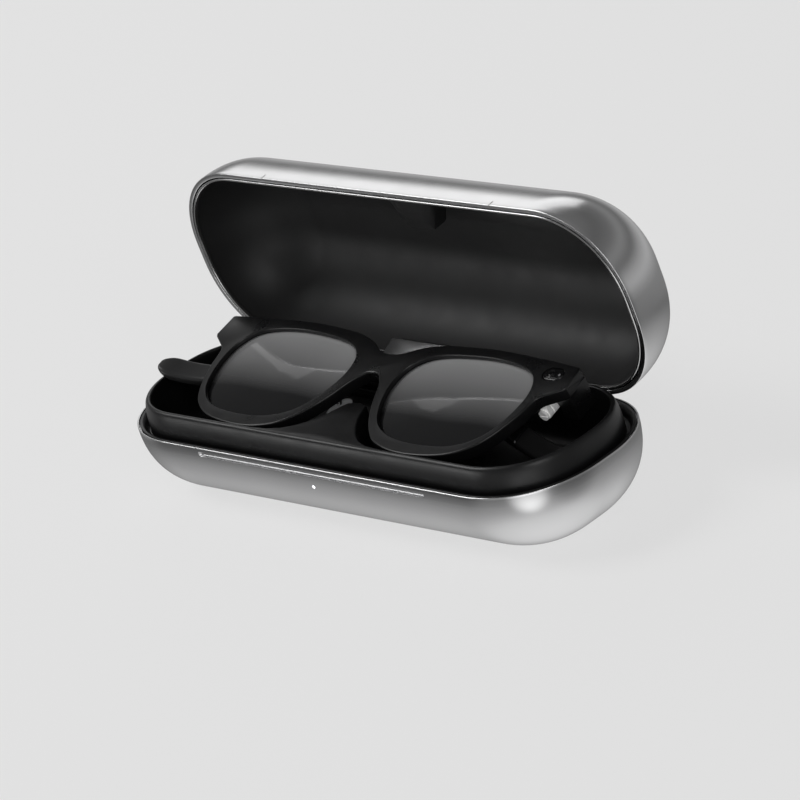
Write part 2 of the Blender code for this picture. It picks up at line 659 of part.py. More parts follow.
def build_front(glasses):
    outline = front_outline()
    edge = 0.5 * MM
    layers = ((-FRONT_THICKNESS, -edge), (edge - FRONT_THICKNESS, 0), (-edge, 0), (0, -edge))
    front = make_object("front_frame",
                        loft([at_height(grown(outline, more), z) for z, more in layers]),
                        FRAME_BLACK, glasses)
    for name, side in (("left", -1), ("right", 1)):
        add_endpiece(front, glasses, name, side)
        rebate = FRONT_THICKNESS - 2.7 * MM
        opening = lens_outline(side)
        steps = ((-FRONT_THICKNESS - 1 * MM, LENS_REBATE), (-rebate, LENS_REBATE), (-rebate, 0),
                 (1 * MM, 0))
        hole = loft([at_height(grown(opening, more), z) for z, more in steps])
        cut(front, make_guide("cut_lens_" + name, hole, glasses))
        plate = [at_height(grown(opening, LENS_REBATE - GAP), z)
                 for z in (-rebate - GAP - 1.5 * MM, -rebate - GAP)]
        make_object("lens_" + name, loft(plate), LENS_GREY, glasses)
        add_contact(front, glasses, name, side)
    add_camera(front, glasses)


def add_endpiece(front, glasses, name, side):
    """Block behind the end of the front, which carries the hinge and meets the temple."""
    sections = ((-3.0, 66.4, 72.4, 9.4, 17.2), (-6.0, 66.4, 72.2, 9.0, 17.3),
                (-ENDPIECE_DEPTH / MM, 66.4, 70.4, 9.4, 16.6))
    rings = []
    for z, x0, x1, y0, y1 in sections:
        corners = ((x0, y0), (x1, y0), (x1, y1), (x0, y1))
        rings.append([Vector((side * x, y, z)) * MM for x, y in corners])
    unite(front, make_guide("add_endpiece_" + name, loft(rings), glasses))


def add_contact(front, glasses, name, side):
    x = side * CONTACT_X
    back = -FRONT_THICKNESS
    well = rod((x, CONTACT_Y, back - 1 * MM), (x, CONTACT_Y, back + 1.0 * MM), 1.1 * MM, 16)
    cut(front, make_guide("cut_contact_" + name, well, glasses))
    disc = rod((x, CONTACT_Y, back), (x, CONTACT_Y, back + 0.7 * MM), 0.8 * MM, 16)
    make_object("charge_contact_" + name, disc, GOLD_PLATE, glasses)


def add_camera(front, glasses):
    seat = pill((CAMERA_X, CAMERA_Y), 3.9 * MM, 2.5 * MM, -1.1 * MM, 1 * MM)
    tunnel = rod((CAMERA_X - 0.8 * MM, CAMERA_Y, -FRONT_THICKNESS - 1 * MM),
                 (CAMERA_X - 0.8 * MM, CAMERA_Y, 0), 2.0 * MM, 16)
    lamp_x = CAMERA_X + 2.4 * MM
    lamp_well = rod((lamp_x, CAMERA_Y, -2.6 * MM), (lamp_x, CAMERA_Y, 0), 0.9 * MM, 12)
    cut(front, make_guide("cut_window", seat, glasses),
        make_guide("cut_camera", tunnel, glasses), make_guide("cut_lamp", lamp_well, glasses))
    make_object("camera_window", pill((CAMERA_X, CAMERA_Y), 3.6 * MM, 2.2 * MM, -0.8 * MM,
                                      -0.05 * MM), WINDOW_BLACK, glasses)
    make_object("camera_module", rod((CAMERA_X - 0.8 * MM, CAMERA_Y, -4.3 * MM),
                                     (CAMERA_X - 0.8 * MM, CAMERA_Y, -1.4 * MM), 1.7 * MM, 16),
                TRAY_BLACK, glasses)
    make_object("capture_light", rod((lamp_x, CAMERA_Y, -2.3 * MM),
                                     (lamp_x, CAMERA_Y, -1.4 * MM), 0.6 * MM, 12),
                LIGHT_WHITE, glasses)


def build_nose_pads(glasses):
    for name, side in (("left", -1), ("right", 1)):
        data = bmesh.new()
        bmesh.ops.create_uvsphere(data, u_segments=16, v_segments=8, radius=1.0)
        shape = (Matrix.Translation((side * 12.7 * MM, -4.4 * MM, -8.9 * MM))
                 @ Matrix.Rotation(side * math.radians(-32), 4, "Y")
                 @ Matrix.Rotation(side * math.radians(14), 4, "Z")
                 @ Matrix.Diagonal((1.0 * MM, 4.3 * MM, 2.4 * MM, 1)))
        make_object("nose_pad_" + name, moved(data, shape), CLEAR_SILICONE, glasses)
        arm = rod((side * 9.8 * MM, -4.4 * MM, -FRONT_THICKNESS - GAP),
                  (side * 12.9 * MM, -4.4 * MM, -6.5 * MM), 0.5 * MM, 10)
        make_object("pad_arm_" + name, arm, BRIGHT_STEEL, glasses)


# ---------------------------------------------------------------- temple hinges
def hinge_rod(side, low, high, radius, sides=18):
    """A round bar on a temple's hinge axis, between two heights, in the front's axes."""
    x = side * TEMPLE_AXIS_X
    return rod((x, low, -TEMPLE_AXIS_BEHIND), (x, high, -TEMPLE_AXIS_BEHIND), radius, sides)


def build_front_hinge(glasses, name, side):
    low, low_top, _, _, high_low, high = HINGE_LEVELS
    x0 = 62.9 * MM
    x1 = 65.9 * MM
    plate_back = -FRONT_THICKNESS - GAP - 0.8 * MM
    xs = sorted((side * x0, side * x1))
    block = make_object("front_hinge_" + name,
                        box((xs[0], low + 0.3 * MM, plate_back),
                            (xs[1], high - 0.3 * MM, -FRONT_THICKNESS - GAP)),
                        BRIGHT_STEEL, glasses)
    for step, (y0, y1) in enumerate(((low, low_top), (high_low, high))):
        web = box((xs[0], y0 + 0.1 * MM, -TEMPLE_AXIS_BEHIND),
                  (xs[1], y1 - 0.1 * MM, plate_back + 0.2 * MM))
        unite(block, make_guide(f"add_front_web_{name}_{step}", web, glasses),
              make_guide(f"add_front_knuckle_{name}_{step}",
                         hinge_rod(side, y0, y1, HINGE_RADIUS), glasses))
    bore = hinge_rod(side, low - 1 * MM, high + 1 * MM, HINGE_BORE)
    cut(block, make_guide("cut_front_bore_" + name, bore, glasses))

    screw = make_object("hinge_screw_" + name,
                        hinge_rod(side, low - 0.4 * MM, high, 0.8 * MM, 16),
                        BRIGHT_STEEL, glasses)
    head = hinge_rod(side, low - 1.1 * MM, low - GAP, 1.6 * MM)
    unite(screw, make_guide("add_screw_head_" + name, head, glasses))
    x = side * TEMPLE_AXIS_X
    slot = box((x - 2 * MM, low - 1.6 * MM, -TEMPLE_AXIS_BEHIND - 0.2 * MM),
               (x + 2 * MM, low - 0.75 * MM, -TEMPLE_AXIS_BEHIND + 0.2 * MM))
    cut(screw, make_guide("cut_screw_slot_" + name, slot, glasses))


# ---------------------------------------------------------------- temples
def ease(value):
    value = min(max(value, 0.0), 1.0)
    return value * value * (3 - 2 * value)


def temple_section(along):
    """Inner face, outer face, centre height and half height at a distance from the hinge."""
    slim = ease((along - 4 * MM) / (60 * MM))
    thin = ease((along - 55 * MM) / (30 * MM))
    inner = (1.2 + 0.4 * slim - 0.2 * thin) * MM
    outer = (6.6 - 1.2 * slim - 0.6 * thin) * MM
    bend = max(0.0, (along - 125 * MM) / (22 * MM))
    shift = 6.5 * MM * bend * bend
    fall = min(max((along - 75 * MM) / (72 * MM), 0.0), 1.0)
    centre = (11.6 - 1.1 * slim) * MM - TEMPLE_DROP * fall * fall * (2 - fall)
    half = (5.4 - 1.0 * slim - 0.8 * thin) * MM
    tip = max(0.0, (along - (TEMPLE_LENGTH - 4.5 * MM)) / (4.5 * MM))
    round_off = math.sqrt(max(0.0, 1 - tip * tip))
    half *= 0.25 + 0.75 * round_off
    mid = (inner + outer) / 2
    thick = (outer - inner) / 2 * (0.45 + 0.55 * round_off)
    return mid - thick - shift, mid + thick - shift, centre, half


def temple_ring(side, along, inner, outer, low, high, corner):
    """Rounded rectangle across the temple at one distance from the hinge."""
    ring = []
    spans = ((outer - corner, high - corner, 0), (inner + corner, high - corner, 1),
             (inner + corner, low + corner, 2), (outer - corner, low + corner, 3))
    for x, y, quarter in spans:
        for k in range(3):
            angle = (quarter + k / 2) * math.pi / 2
            ring.append(Vector((side * (x + corner * math.cos(angle)),
                                y + corner * math.sin(angle), -along)))
    return ring


def temple_loft(side, stations, margins=(0, 0, 0), corner=1.1 * MM):
    """Skin a stretch of temple; margins shrink its inner face, outer face and height."""
    rings = []
    for along in stations:
        inner, outer, centre, half = temple_section(along)
        low = centre - half + margins[2]
        high = centre + half - margins[2]
        inner += margins[0]
        outer -= margins[1]
        size = min(corner, (outer - inner) * 0.45, (high - low) * 0.45)
        rings.append(temple_ring(side, along, inner, outer, low, high, size))
    return loft(rings)


def pocket_band(side, stations, depth_low, depth_high, margin):
    """A slab following the inner face, between two depths below it."""
    rings = []
    for along in stations:
        inner, _, centre, half = temple_section(along)
        y0 = centre - half + margin
        y1 = centre + half - margin
        x0 = side * (inner + depth_low)
        x1 = side * (inner + depth_high)
        rings.append([Vector((x, y, -along)) for x, y in ((x0, y0), (x1, y0), (x1, y1), (x0, y1))])
    return loft(rings)


def spread(start, end, count):
    return [start + (end - start) * k / (count - 1) for k in range(count)]


def build_temple(glasses, name, side, fold):
    axis = make_empty(name + "_temple_axis", (side * TEMPLE_AXIS_X, 0, -TEMPLE_AXIS_BEHIND),
                      glasses, (0, fold, 0))
    body_at = [TEMPLE_BUTT, 12 * MM, 22 * MM, 40 * MM, 60 * MM, 75 * MM, 86 * MM, 97 * MM,
               108 * MM, SLEEVE_START - GAP]
    body = make_object("temple_" + name, temple_loft(side, body_at), FRAME_BLACK, axis)
    sleeve_at = [SLEEVE_START, 125 * MM, 132 * MM, 138 * MM, 142.5 * MM, 145 * MM, 146.3 * MM,
                 TEMPLE_LENGTH]
    make_object("temple_sleeve_" + name, temple_loft(side, sleeve_at), SLEEVE_BLACK, axis)

    pocket_at = spread(POCKET_START, POCKET_END, 6)
    pocket = pocket_band(side, pocket_at, -1.2 * MM, POCKET_DEPTH, 1.2 * MM)
    cut(body, make_guide("cut_pocket_" + name, pocket, axis))
    cover_at = spread(POCKET_START + GAP, POCKET_END - GAP, 6)
    cover = pocket_band(side, cover_at, 0.0, COVER_THICKNESS, 1.2 * MM + GAP)
    make_object("temple_cover_" + name, cover, FRAME_BLACK, axis)

    shelf = COVER_THICKNESS + GAP
    floor = POCKET_DEPTH - GAP
    contents = (("circuit_board_", 16.5, 30, BOARD_GREEN, 0.7),
                ("temple_battery_", 31, 54, CELL_GREY, 0.0),
                ("speaker_", 55, 64, BRIGHT_STEEL, 0.0))
    for label, start, end, finish, lift in contents:
        band = pocket_band(side, spread(start * MM, end * MM, 4), shelf + lift * MM, floor,
                           1.8 * MM)
        make_object(label + name, band, finish, axis)

    build_temple_hinge(axis, name, side)
    build_temple_button(axis, body, name, side)
    if side > 0:
        build_touch_strip(axis, body)


def build_temple_hinge(axis, name, side):
    _, _, low, high, _, _ = HINGE_LEVELS
    xs = sorted((side * 0.1 * MM, side * 0.9 * MM))
    leaf = make_object("temple_hinge_" + name,
                       box((xs[0], low, -10 * MM), (xs[1], high, -1.0 * MM)), BRIGHT_STEEL, axis)
    unite(leaf, make_guide("add_temple_knuckle_" + name,
                           rod((0, low, 0), (0, high, 0), HINGE_RADIUS, 18), axis))
    cut(leaf, make_guide("cut_temple_bore_" + name,
                         rod((0, low - 1 * MM, 0), (0, high + 1 * MM, 0), HINGE_BORE, 16), axis))


def build_temple_button(axis, body, name, side):
    """Push button in the upper edge, just behind the hinge."""
    along = 10.8 * MM
    inner, outer, centre, half = temple_section(along)
    top = centre + half
    middle = side * (inner + outer) / 2
    label = {"left": "power_button", "right": "capture_button"}[name]
    place = Matrix.Translation((middle, top, -along)) @ Matrix.Rotation(-math.pi / 2, 4, "X")
    turn = Matrix.Rotation(math.pi / 2, 4, "Z")
    well = moved(pill((0, 0), 3.0 * MM, 1.2 * MM, -2.2 * MM, 1 * MM), place @ turn)
    cut(body, make_guide("cut_" + label, well, axis))
    seat = make_empty(label + "_axis", (middle, top, -along), axis)
    local = Matrix.Rotation(-math.pi / 2, 4, "X") @ turn
    cap = moved(pill((0, 0), 2.7 * MM, 0.9 * MM, -1.4 * MM, 0.3 * MM), local)
    make_object(label, cap, FRAME_BLACK, seat)


def build_touch_strip(axis, body):
    """Touch surface let into the outer face of the right temple."""
    stretch = (22 * MM, 52 * MM)
    for grow, inwards, outwards, label in ((GAP, 0.7 * MM, 1 * MM, "cut"),
                                           (0.0, 0.4 * MM, 0.0, "strip")):
        rings = []
        for along in spread(stretch[0] - grow, stretch[1] + grow, 6):
            _, outer, centre, _ = temple_section(along)
            tall = 2.2 * MM + grow
            x0 = outer - inwards
            x1 = outer + outwards
            rings.append([Vector((x, y, -along)) for x, y in (
                (x0, centre - tall), (x1, centre - tall), (x1, centre + tall),
                (x0, centre + tall))])
        if label == "cut":
            cut(body, make_guide("cut_touch_strip", loft(rings), axis))
        else:
            make_object("touch_strip", loft(rings), WINDOW_BLACK, axis)


def build_glasses():
    glasses = make_empty("glasses_axis", (0, FRONT_BACK, RIM_Z + FRONT_RISE),
                         rotation=(FRONT_TILT, 0, 0))
    build_front(glasses)
    build_nose_pads(glasses)
    for name, side, fold in (("left", -1, -TEMPLE_FOLD_LEFT), ("right", 1, TEMPLE_FOLD_RIGHT)):
        build_front_hinge(glasses, name, side)
        build_temple(glasses, name, side, fold)


def main():
    clear_scene()
    build_base_shell()
    build_tray()
    build_nose_rest()
    build_hinge_cover()
    build_base_hardware()
    build_charge_pins()
    lid_frame = make_lid_frame()
    build_lid(lid_frame)
    build_lid_hinge(lid_frame)
    build_glasses()


main()
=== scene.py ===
"""Looks of the smart glasses lying in their open charging case.

Every piece is built in the frame's own axes: metres, +Z up, +X along the case, +Y to the hinge.
"""
import json
import math

import bmesh
import bpy
from mathutils import Matrix, Vector


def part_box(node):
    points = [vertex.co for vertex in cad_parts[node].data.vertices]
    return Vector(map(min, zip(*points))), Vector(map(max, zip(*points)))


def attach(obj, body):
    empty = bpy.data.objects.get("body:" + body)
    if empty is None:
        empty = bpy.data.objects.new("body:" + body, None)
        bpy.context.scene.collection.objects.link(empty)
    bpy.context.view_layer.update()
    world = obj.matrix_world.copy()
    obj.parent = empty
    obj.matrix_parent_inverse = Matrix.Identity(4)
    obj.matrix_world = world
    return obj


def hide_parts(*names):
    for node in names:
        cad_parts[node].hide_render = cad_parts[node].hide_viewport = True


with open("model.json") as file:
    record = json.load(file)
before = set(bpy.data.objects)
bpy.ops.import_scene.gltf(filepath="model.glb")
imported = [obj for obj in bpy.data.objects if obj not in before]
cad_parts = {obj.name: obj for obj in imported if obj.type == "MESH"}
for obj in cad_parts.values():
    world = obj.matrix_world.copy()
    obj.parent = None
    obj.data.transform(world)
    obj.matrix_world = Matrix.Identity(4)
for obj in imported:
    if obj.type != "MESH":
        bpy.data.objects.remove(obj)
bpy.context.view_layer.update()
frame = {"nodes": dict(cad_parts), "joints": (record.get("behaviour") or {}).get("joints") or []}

MM = 0.001

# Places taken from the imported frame
JOINTS = {joint["name"]: joint for joint in frame["joints"]}
LID_AXIS = Vector(JOINTS["lid_hinge"]["pos_m"])
LID_OPEN = math.radians(-JOINTS["lid_hinge"]["range_deg"][0])
RIM_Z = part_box("base_shell")[1].z  # height of the parting line
LID_RIM_Z = RIM_Z + 0.3 * MM
FOLD = {"left": -math.radians(JOINTS["left_temple_hinge"]["range_deg"][1]),
        "right": math.radians(JOINTS["right_temple_hinge"]["range_deg"][1])}
SIDES = (("left", -1), ("right", 1))

# Case outline and sections
CASE_HALF_LENGTH = 90.3 * MM
CASE_HALF_DEPTH = 30.3 * MM
CORNER_RADIUS = 27.6 * MM
CORNER_POWER = 2.1
CORNER_STEPS = 22
# A section's depth, inset and power, and where its blend to the flat starts and ends
BASE_CURVE = (26.55 * MM, 36.3 * MM, 2.32, 15.0 * MM, 18.0 * MM)
LID_CURVE = (30.5 * MM, 44.0 * MM, 2.45, 18.0 * MM, 26.0 * MM)
BASE_WALL = 1.6 * MM
BASE_RIM_ROUND = 0.2 * MM
RIM_WALL = 0.5 * MM  # the base wall thins to this beside the tray's lip,
LIP_DROP = 1.5 * MM  # down to this far below the rim
LID_WALL = 1.4 * MM
LID_RIM_ROUND = 0.25 * MM
GRIP_HALF = 47.3 * MM  # half length of the finger groove
GRIP_CENTRE_DROP = 2.05 * MM
GRIP_HALF_HEIGHT = 0.85 * MM
GRIP_DEPTH = 0.7 * MM
GRIP_EDGE = 0.3 * MM  # width of the groove's soft edge
HINGE_HALF_WIDTH = 21.0 * MM
# The hinge's cover plate: outline as (y, height above the rim) in mm, centre and half length
COVER_PLATE = ((18.8, 7.4), (24.4, 7.4), (24.6, 7.6), (24.6, 11.8), (24.5, 12.1), (24.2, 12.2),
               (18.9, 9.75), (18.7, 9.6), (18.6, 9.4), (18.6, 7.6))
COVER_CENTRE = Vector((21.6, 9.6))
COVER_HALF = 14.1 * MM
COVER_EDGE = 0.25  # in mm
LED_DROP = 6.4 * MM
LED_RADIUS = 0.45 * MM
LED_HOLE_RADIUS = 0.55 * MM
PORT_Z = 9.0 * MM
PORT_HOLE = (4.77 * MM, 1.9 * MM)  # half length and half height
PORT_SLEEVE = (4.47 * MM, 1.6 * MM)
PAIR_BUTTON_X = 20.0 * MM
PAIR_BUTTON_Z = 12.0 * MM
PAIR_BUTTON_SLOPE = math.radians(24.0)
PAIR_BUTTON_RADIUS = 2.2 * MM
PAIR_HOLE_RADIUS = 2.45 * MM

# Tray, with its section as (inset, height above the rim) in mm
COLLAR_Z = RIM_Z + 6.8 * MM
COLLAR_INSET = 5.9 * MM
TRAY_SETBACK = 1.0 * MM
TRAY_FLANGE = (BASE_WALL + 0.35 * MM) / MM
TRAY_UNDER = ((8.5, -12.4), (6.4, -10.0), (5.0, -4.6))
TRAY_LIP = ((TRAY_FLANGE + 0.25, -4.2), (TRAY_FLANGE, -1.2), (0.8, -1.2), (0.8, -0.15),
            (0.95, 0.0), (1.5, 0.0), (1.7, -0.1), (2.7, -1.4), (2.9, -2.45), (3.05, -2.6))
TRAY_COLLAR = ((3.4, -2.6), (3.42, -1.0), (3.46, 0.5), (3.55, 2.0), (3.7, 3.4), (3.9, 4.7),
               (4.1, 5.5), (4.25, 5.95), (4.45, 6.3), (4.7, 6.58), (5.0, 6.74))
# The cavity: (margin round its opening, depth below the collar) in mm
CAVITY = ((0.55, 0.0), (0.3, 0.08), (0.12, 0.28), (0.0, 0.7), (-0.05, 2.0), (-0.15, 6.8),
          (-0.4, 11.5), (-0.9, 14.2), (-1.6, 15.8), (-2.6, 16.8), (-3.8, 17.4), (-5.0, 17.75))
CLIMB_DEPTH = 6  # the nose rest's climb stops this far down, in mm

# Nose rest
NOSE_FRONT = -24.3 * MM
NOSE_BACK = -4.9 * MM
NOSE_ROUND = 3 * MM  # radius of its end
NOSE_CLIMB = 1.2 * MM
NOSE_CLIMB_RUN = (-21 * MM, 15 * MM)  # where the climb starts, and its length
NOSE_TAPER_RUN = (-24.1 * MM, 26.1 * MM)
NOSE_TAPER_POWER = 2.6
NOSE_REACH = 26.0 * MM  # half width of the run that it takes over
NOSE_SLIM = 3.4 * MM  # half width where the taper ends, and what is added where it starts
NOSE_WIDEN = 15.6 * MM
NOSE_FLARE = 5.0 * MM  # where it meets the collar, and how fast that dies away
NOSE_FLARE_RUN = 0.8 * MM
NOSE_END_SHARE = 0.2  # share of its outline that runs round its end

# Magnet boss inside the lid's front
BOSS_HALF = 13.0 * MM
BOSS_FLAT_HALF = 5.0 * MM
BOSS_SIDE_RUN = 8.0 * MM
BOSS_RISE_RUN = (8.6 * MM, 3.4 * MM)  # down from the rim
BOSS_END = 20 * MM
BOSS_END_RUN = 3 * MM
BOSS_STAND = 11.0 * MM
BOSS_CROWN = 6.3 * MM

# Glasses front; outlines are (x, y) in mm, from the middle round the right side
FRONT_TILT = math.radians(15.87)
FRONT_PLACE = Vector((0, -1.46 * MM, RIM_Z + 12.56 * MM))
FRONT_THICKNESS = 4.0 * MM
FRONT_EDGE_ROUND = 0.55 * MM
FRONT_TOP = ((0, 12.2), (4.5, 13.1), (9.5, 15.9), (15, 17.9), (22, 19.0), (36, 19.9),
             (50, 19.5), (62, 18.8))
FRONT_CORNER = ((71.6, 17.9), (72.35, 17.3), (72.8, 9.7), (72.2, 8.8))
FRONT_LOWER = ((69.0, 6.7), (66.2, 4.6), (65.1, 1.6), (64.2, -3.0), (61.3, -11.0), (57.0, -17.0),
               (50.0, -21.2), (40.0, -23.1), (30.0, -23.1), (21.7, -21.0), (16.8, -17.6),
               (12.4, -12.6), (8.7, -6.5), (5.8, -0.2), (2.8, 3.5), (0, 4.4))
LENS_POINTS = ((36, 16.4), (20, 14.6), (12.3, 10.2), (10.1, 3.0), (12.0, -5.5), (17.5, -13.8),
               (26.5, -18.0), (38.0, -19.0), (50.0, -17.4), (57.8, -12.0), (61.3, -3.5),
               (61.5, 6.0), (57.5, 12.6), (49.0, 15.6))
LENS_CENTRE = (36 * MM, -1 * MM)
LENS_BULGE = 1.1 * MM
LENS_THICKNESS = 1.4 * MM
LENS_SHARES = (0.02, 0.12, 0.24, 0.36, 0.48, 0.6, 0.72, 0.84, 0.93, 0.985)
REBATE = 1.3 * MM  # the lens seat's depth behind the face
# The lens opening: (z, offset of its outline)
LENS_OPENING = ((-FRONT_THICKNESS - 1 * MM, 0.9 * MM), (-REBATE, 0.9 * MM), (-REBATE, 0),
                (-0.35 * MM, 0), (-0.1 * MM, 0.1 * MM), (0.1 * MM, 0.35 * MM), (1 * MM, 1.2 * MM))
ENDPIECE_DEPTH = 12.6 * MM
# The end-piece behind the front: (z, x0, x1, y0, y1) in mm
ENDPIECE = ((-3.0, 66.4, 72.6, 9.3, 17.3), (-6.0, 66.4, 72.3, 9.2, 17.2),
            (-ENDPIECE_DEPTH / MM + 0.3, 66.4, 71.4, 9.4, 16.8),
            (-ENDPIECE_DEPTH / MM, 66.7, 71.0, 9.7, 16.5))
CONTACT_WELL = (30 * MM, -21.5 * MM)
CONTACT_WELL_RADIUS = 1.1 * MM
CAMERA_AT = Vector((64.8, 13.9)) * MM
CAMERA_LENS_X = -0.8 * MM  # from the window's middle
CAMERA_LAMP_X = 2.4 * MM
# The ring round the camera's lens: (radius, z) in mm
CAMERA_RING = ((1.5, 0.0), (1.5, 0.14), (1.35, 0.2), (1.2, 0.2), (1.1, 0.12))
PAD_AT = (12.7 * MM, -4.4 * MM, -8.9 * MM)
PAD_HALF_SIZE = (1.0 * MM, 5.0 * MM, 3.5 * MM)
PAD_TURN = math.radians(-12)
PAD_LEAN = math.radians(14)
PAD_ARM = ((9.8, -4.4, -3.6), (9.6, -4.2, -4.8), (10.4, -4.2, -6.0), (12.0, -4.3, -6.6),
           (12.9, -4.4, -7.2))
PAD_ARM_RADIUS = 0.45 * MM
PAINTED_REFLECTION_LOW = 4 * MM  # where the lens's painted reflection fades out and where it is full, measured up the front from the case's centre
PAINTED_REFLECTION_HIGH = 34 * MM  # measured up the front from the case's centre

# Temples, measured along from the hinge
TEMPLE_AXIS_X = 64.2 * MM
TEMPLE_AXIS_BEHIND = 7.3 * MM
TEMPLE_BUTT = 5.7 * MM  # the bar starts here, behind the end-piece
TEMPLE_LENGTH = 147.0 * MM
TEMPLE_CORNER = 1.25 * MM
SLEEVE_START = 118.0 * MM
TIP_ROUND = 4.5 * MM
SLIM_RUN = (4 * MM, 60 * MM)  # where each change of section starts, and its length
THIN_RUN = (55 * MM, 30 * MM)
BEND_RUN = (125 * MM, 22 * MM)
FALL_RUN = (75 * MM, 72 * MM)
# In mm: the value at the hinge and what slimming and thinning add to it
TEMPLE_INNER = (1.2, 0.4, -0.2)
TEMPLE_OUTER = (6.6, -1.2, -0.6)
TEMPLE_CENTRE = (11.6, -1.1, 0.0)
TEMPLE_HALF = (5.4, -1.0, -0.8)
TIP_BEND = 6.5 * MM
TIP_FALL = 17.0 * MM
POCKET = (15 * MM, 66 * MM)
POCKET_COVER = (15.3 * MM, 65.7 * MM)
BUTTON_ALONG = 10.8 * MM
STRIP = (22 * MM, 52 * MM)
STRIP_HALF = 2.2 * MM

# Camera, lights and studio
PHOTO_AZIMUTH = math.radians(51.345)
PHOTO_ELEVATION = math.radians(22.852)
PHOTO_ROLL = math.radians(-16.554)
PHOTO_DISTANCE = 1.30977
PHOTO_SHIFT = (0.0059037, 0.0054296)
PHOTO_LENS = 206.13
PALE = 0.745  # linear value of the pale backdrop
# (height, value) of the studio's light and dark bands, from straight down to straight up
BANDS = ((0.0, 0.9), (0.08, 0.75), (0.13, 0.56), (0.18, 0.42), (0.25, 0.28), (0.3, 0.15),
         (0.35, 0.3), (0.42, 0.5), (0.5, 0.36), (0.58, 0.14), (0.68, 0.27), (0.76, 0.16),
         (0.86, 0.12), (1.0, 0.2))
# Direction, cosine of the soft edge and gain of each panel around the studio
PANELS = (((0.52, -0.72, -0.36), 0.88, 4.2), ((0.95, 0.1, -0.3), 0.8, 0.55),
          ((-0.72, -0.66, 0.0), 0.8, 0.25), ((-0.6, 0.56, 0.56), 0.92, 3.2))
# Name, place, target, size and power of each light
SOFTBOXES = (("key_left", (-0.9, -0.5, 1.1), (0, 0, 0.03), (0.7, 0.7), 7),
             ("fill_right", (1.1, -0.6, 0.7), (0, 0, 0.03), (0.5, 0.9), 3),
             ("low_left", (-0.6, -0.8, 0.03), (0, 0.03, 0.06), (0.5, 0.25), 1.2),
             ("brow_strip", (-0.75, 0.75, 0.72), (0, 0, 0.03), (0.9, 0.5), 0.9))
FLOOR_RADIUS = 14.0

SHARP_ANGLE = 32.0  # degrees; edges sharper than this stay sharp
DRIFT_SCALE = 60.0  # of the broad drift in a material's tone

GLASSES = Matrix.Translation(FRONT_PLACE) @ Matrix.Rotation(FRONT_TILT, 4, "X")
LID = (Matrix.Translation(LID_AXIS) @ Matrix.Rotation(-LID_OPEN, 4, "X")
       @ Matrix.Translation(-LID_AXIS))


def temple_matrix(name, side):
    return (GLASSES @ Matrix.Translation((side * TEMPLE_AXIS_X, 0, -TEMPLE_AXIS_BEHIND))
            @ Matrix.Rotation(FOLD[name], 4, "Y"))


# ---- materials
def link(source, target):
    source.id_data.links.new(source, target)


def set_inputs(node, values):
    for socket, value in values.items():
        node.inputs[socket].default_value = value
    return node


def add_node(tree, kind, values=None):
    return set_inputs(tree.nodes.new("ShaderNode" + kind), values or {})


def add_noise(tree, vector, scale, detail):
    noise = add_node(tree, "TexNoise", {"Scale": scale, "Detail": detail})
    link(vector, noise.inputs["Vector"])
    return noise.outputs["Fac"]


def add_ramp(tree, factor, low, high):
    ramp = add_node(tree, "ValToRGB")
    for element, colour in zip(ramp.color_ramp.elements, (low, high)):
        element.color = (*colour, 1)
    link(factor, ramp.inputs["Fac"])
    return ramp


def new_material(name):
    """A new material, its node tree and its Principled shader."""
    made = bpy.data.materials.new(name)
    made.use_nodes = True
    return made, made.node_tree, made.node_tree.nodes["Principled BSDF"]


def finish(name, colour, rough, metallic=0.0, grain=900.0, bump=0.02, rough_swing=0.06,
           tone_swing=0.1, coat=0.0, stretch=(1, 1, 1), extra=None):
    """A moulded or blasted surface: fine grain in the bump, broad drift in tone and roughness."""
    made, tree, shader = new_material(name)
    set_inputs(shader, {"Metallic": metallic, "Coat Weight": coat, "Coat Roughness": 0.12,
                        "IOR": 1.5})
    where = add_node(tree, "TexCoord")
    scaled = add_node(tree, "Mapping", {"Scale": stretch})
    link(where.outputs["Object"], scaled.inputs["Vector"])
    place = scaled.outputs["Vector"]

    low = [channel * (1 - tone_swing) for channel in colour]
    high = [min(1.0, channel * (1 + tone_swing)) for channel in colour]
    tone = add_ramp(tree, add_noise(tree, place, DRIFT_SCALE, 3.0), low, high)
    tone.color_ramp.elements[0].position = 0.3
    tone.color_ramp.elements[1].position = 0.7
    link(tone.outputs["Color"], shader.inputs["Base Color"])

    span = add_node(tree, "MapRange", {"From Min": 0.3, "From Max": 0.7,
                                       "To Min": max(0.02, rough - rough_swing),
                                       "To Max": rough + rough_swing})
    link(add_noise(tree, place, DRIFT_SCALE * 2.3, 5.0), span.inputs["Value"])
    link(span.outputs["Result"], shader.inputs["Roughness"])

    relief = add_node(tree, "Bump", {"Strength": bump, "Distance": 0.0002})
    link(add_noise(tree, place, grain, 2.0), relief.inputs["Height"])
    link(relief.outputs["Normal"], shader.inputs["Normal"])
    set_inputs(shader, extra or {})
    return made


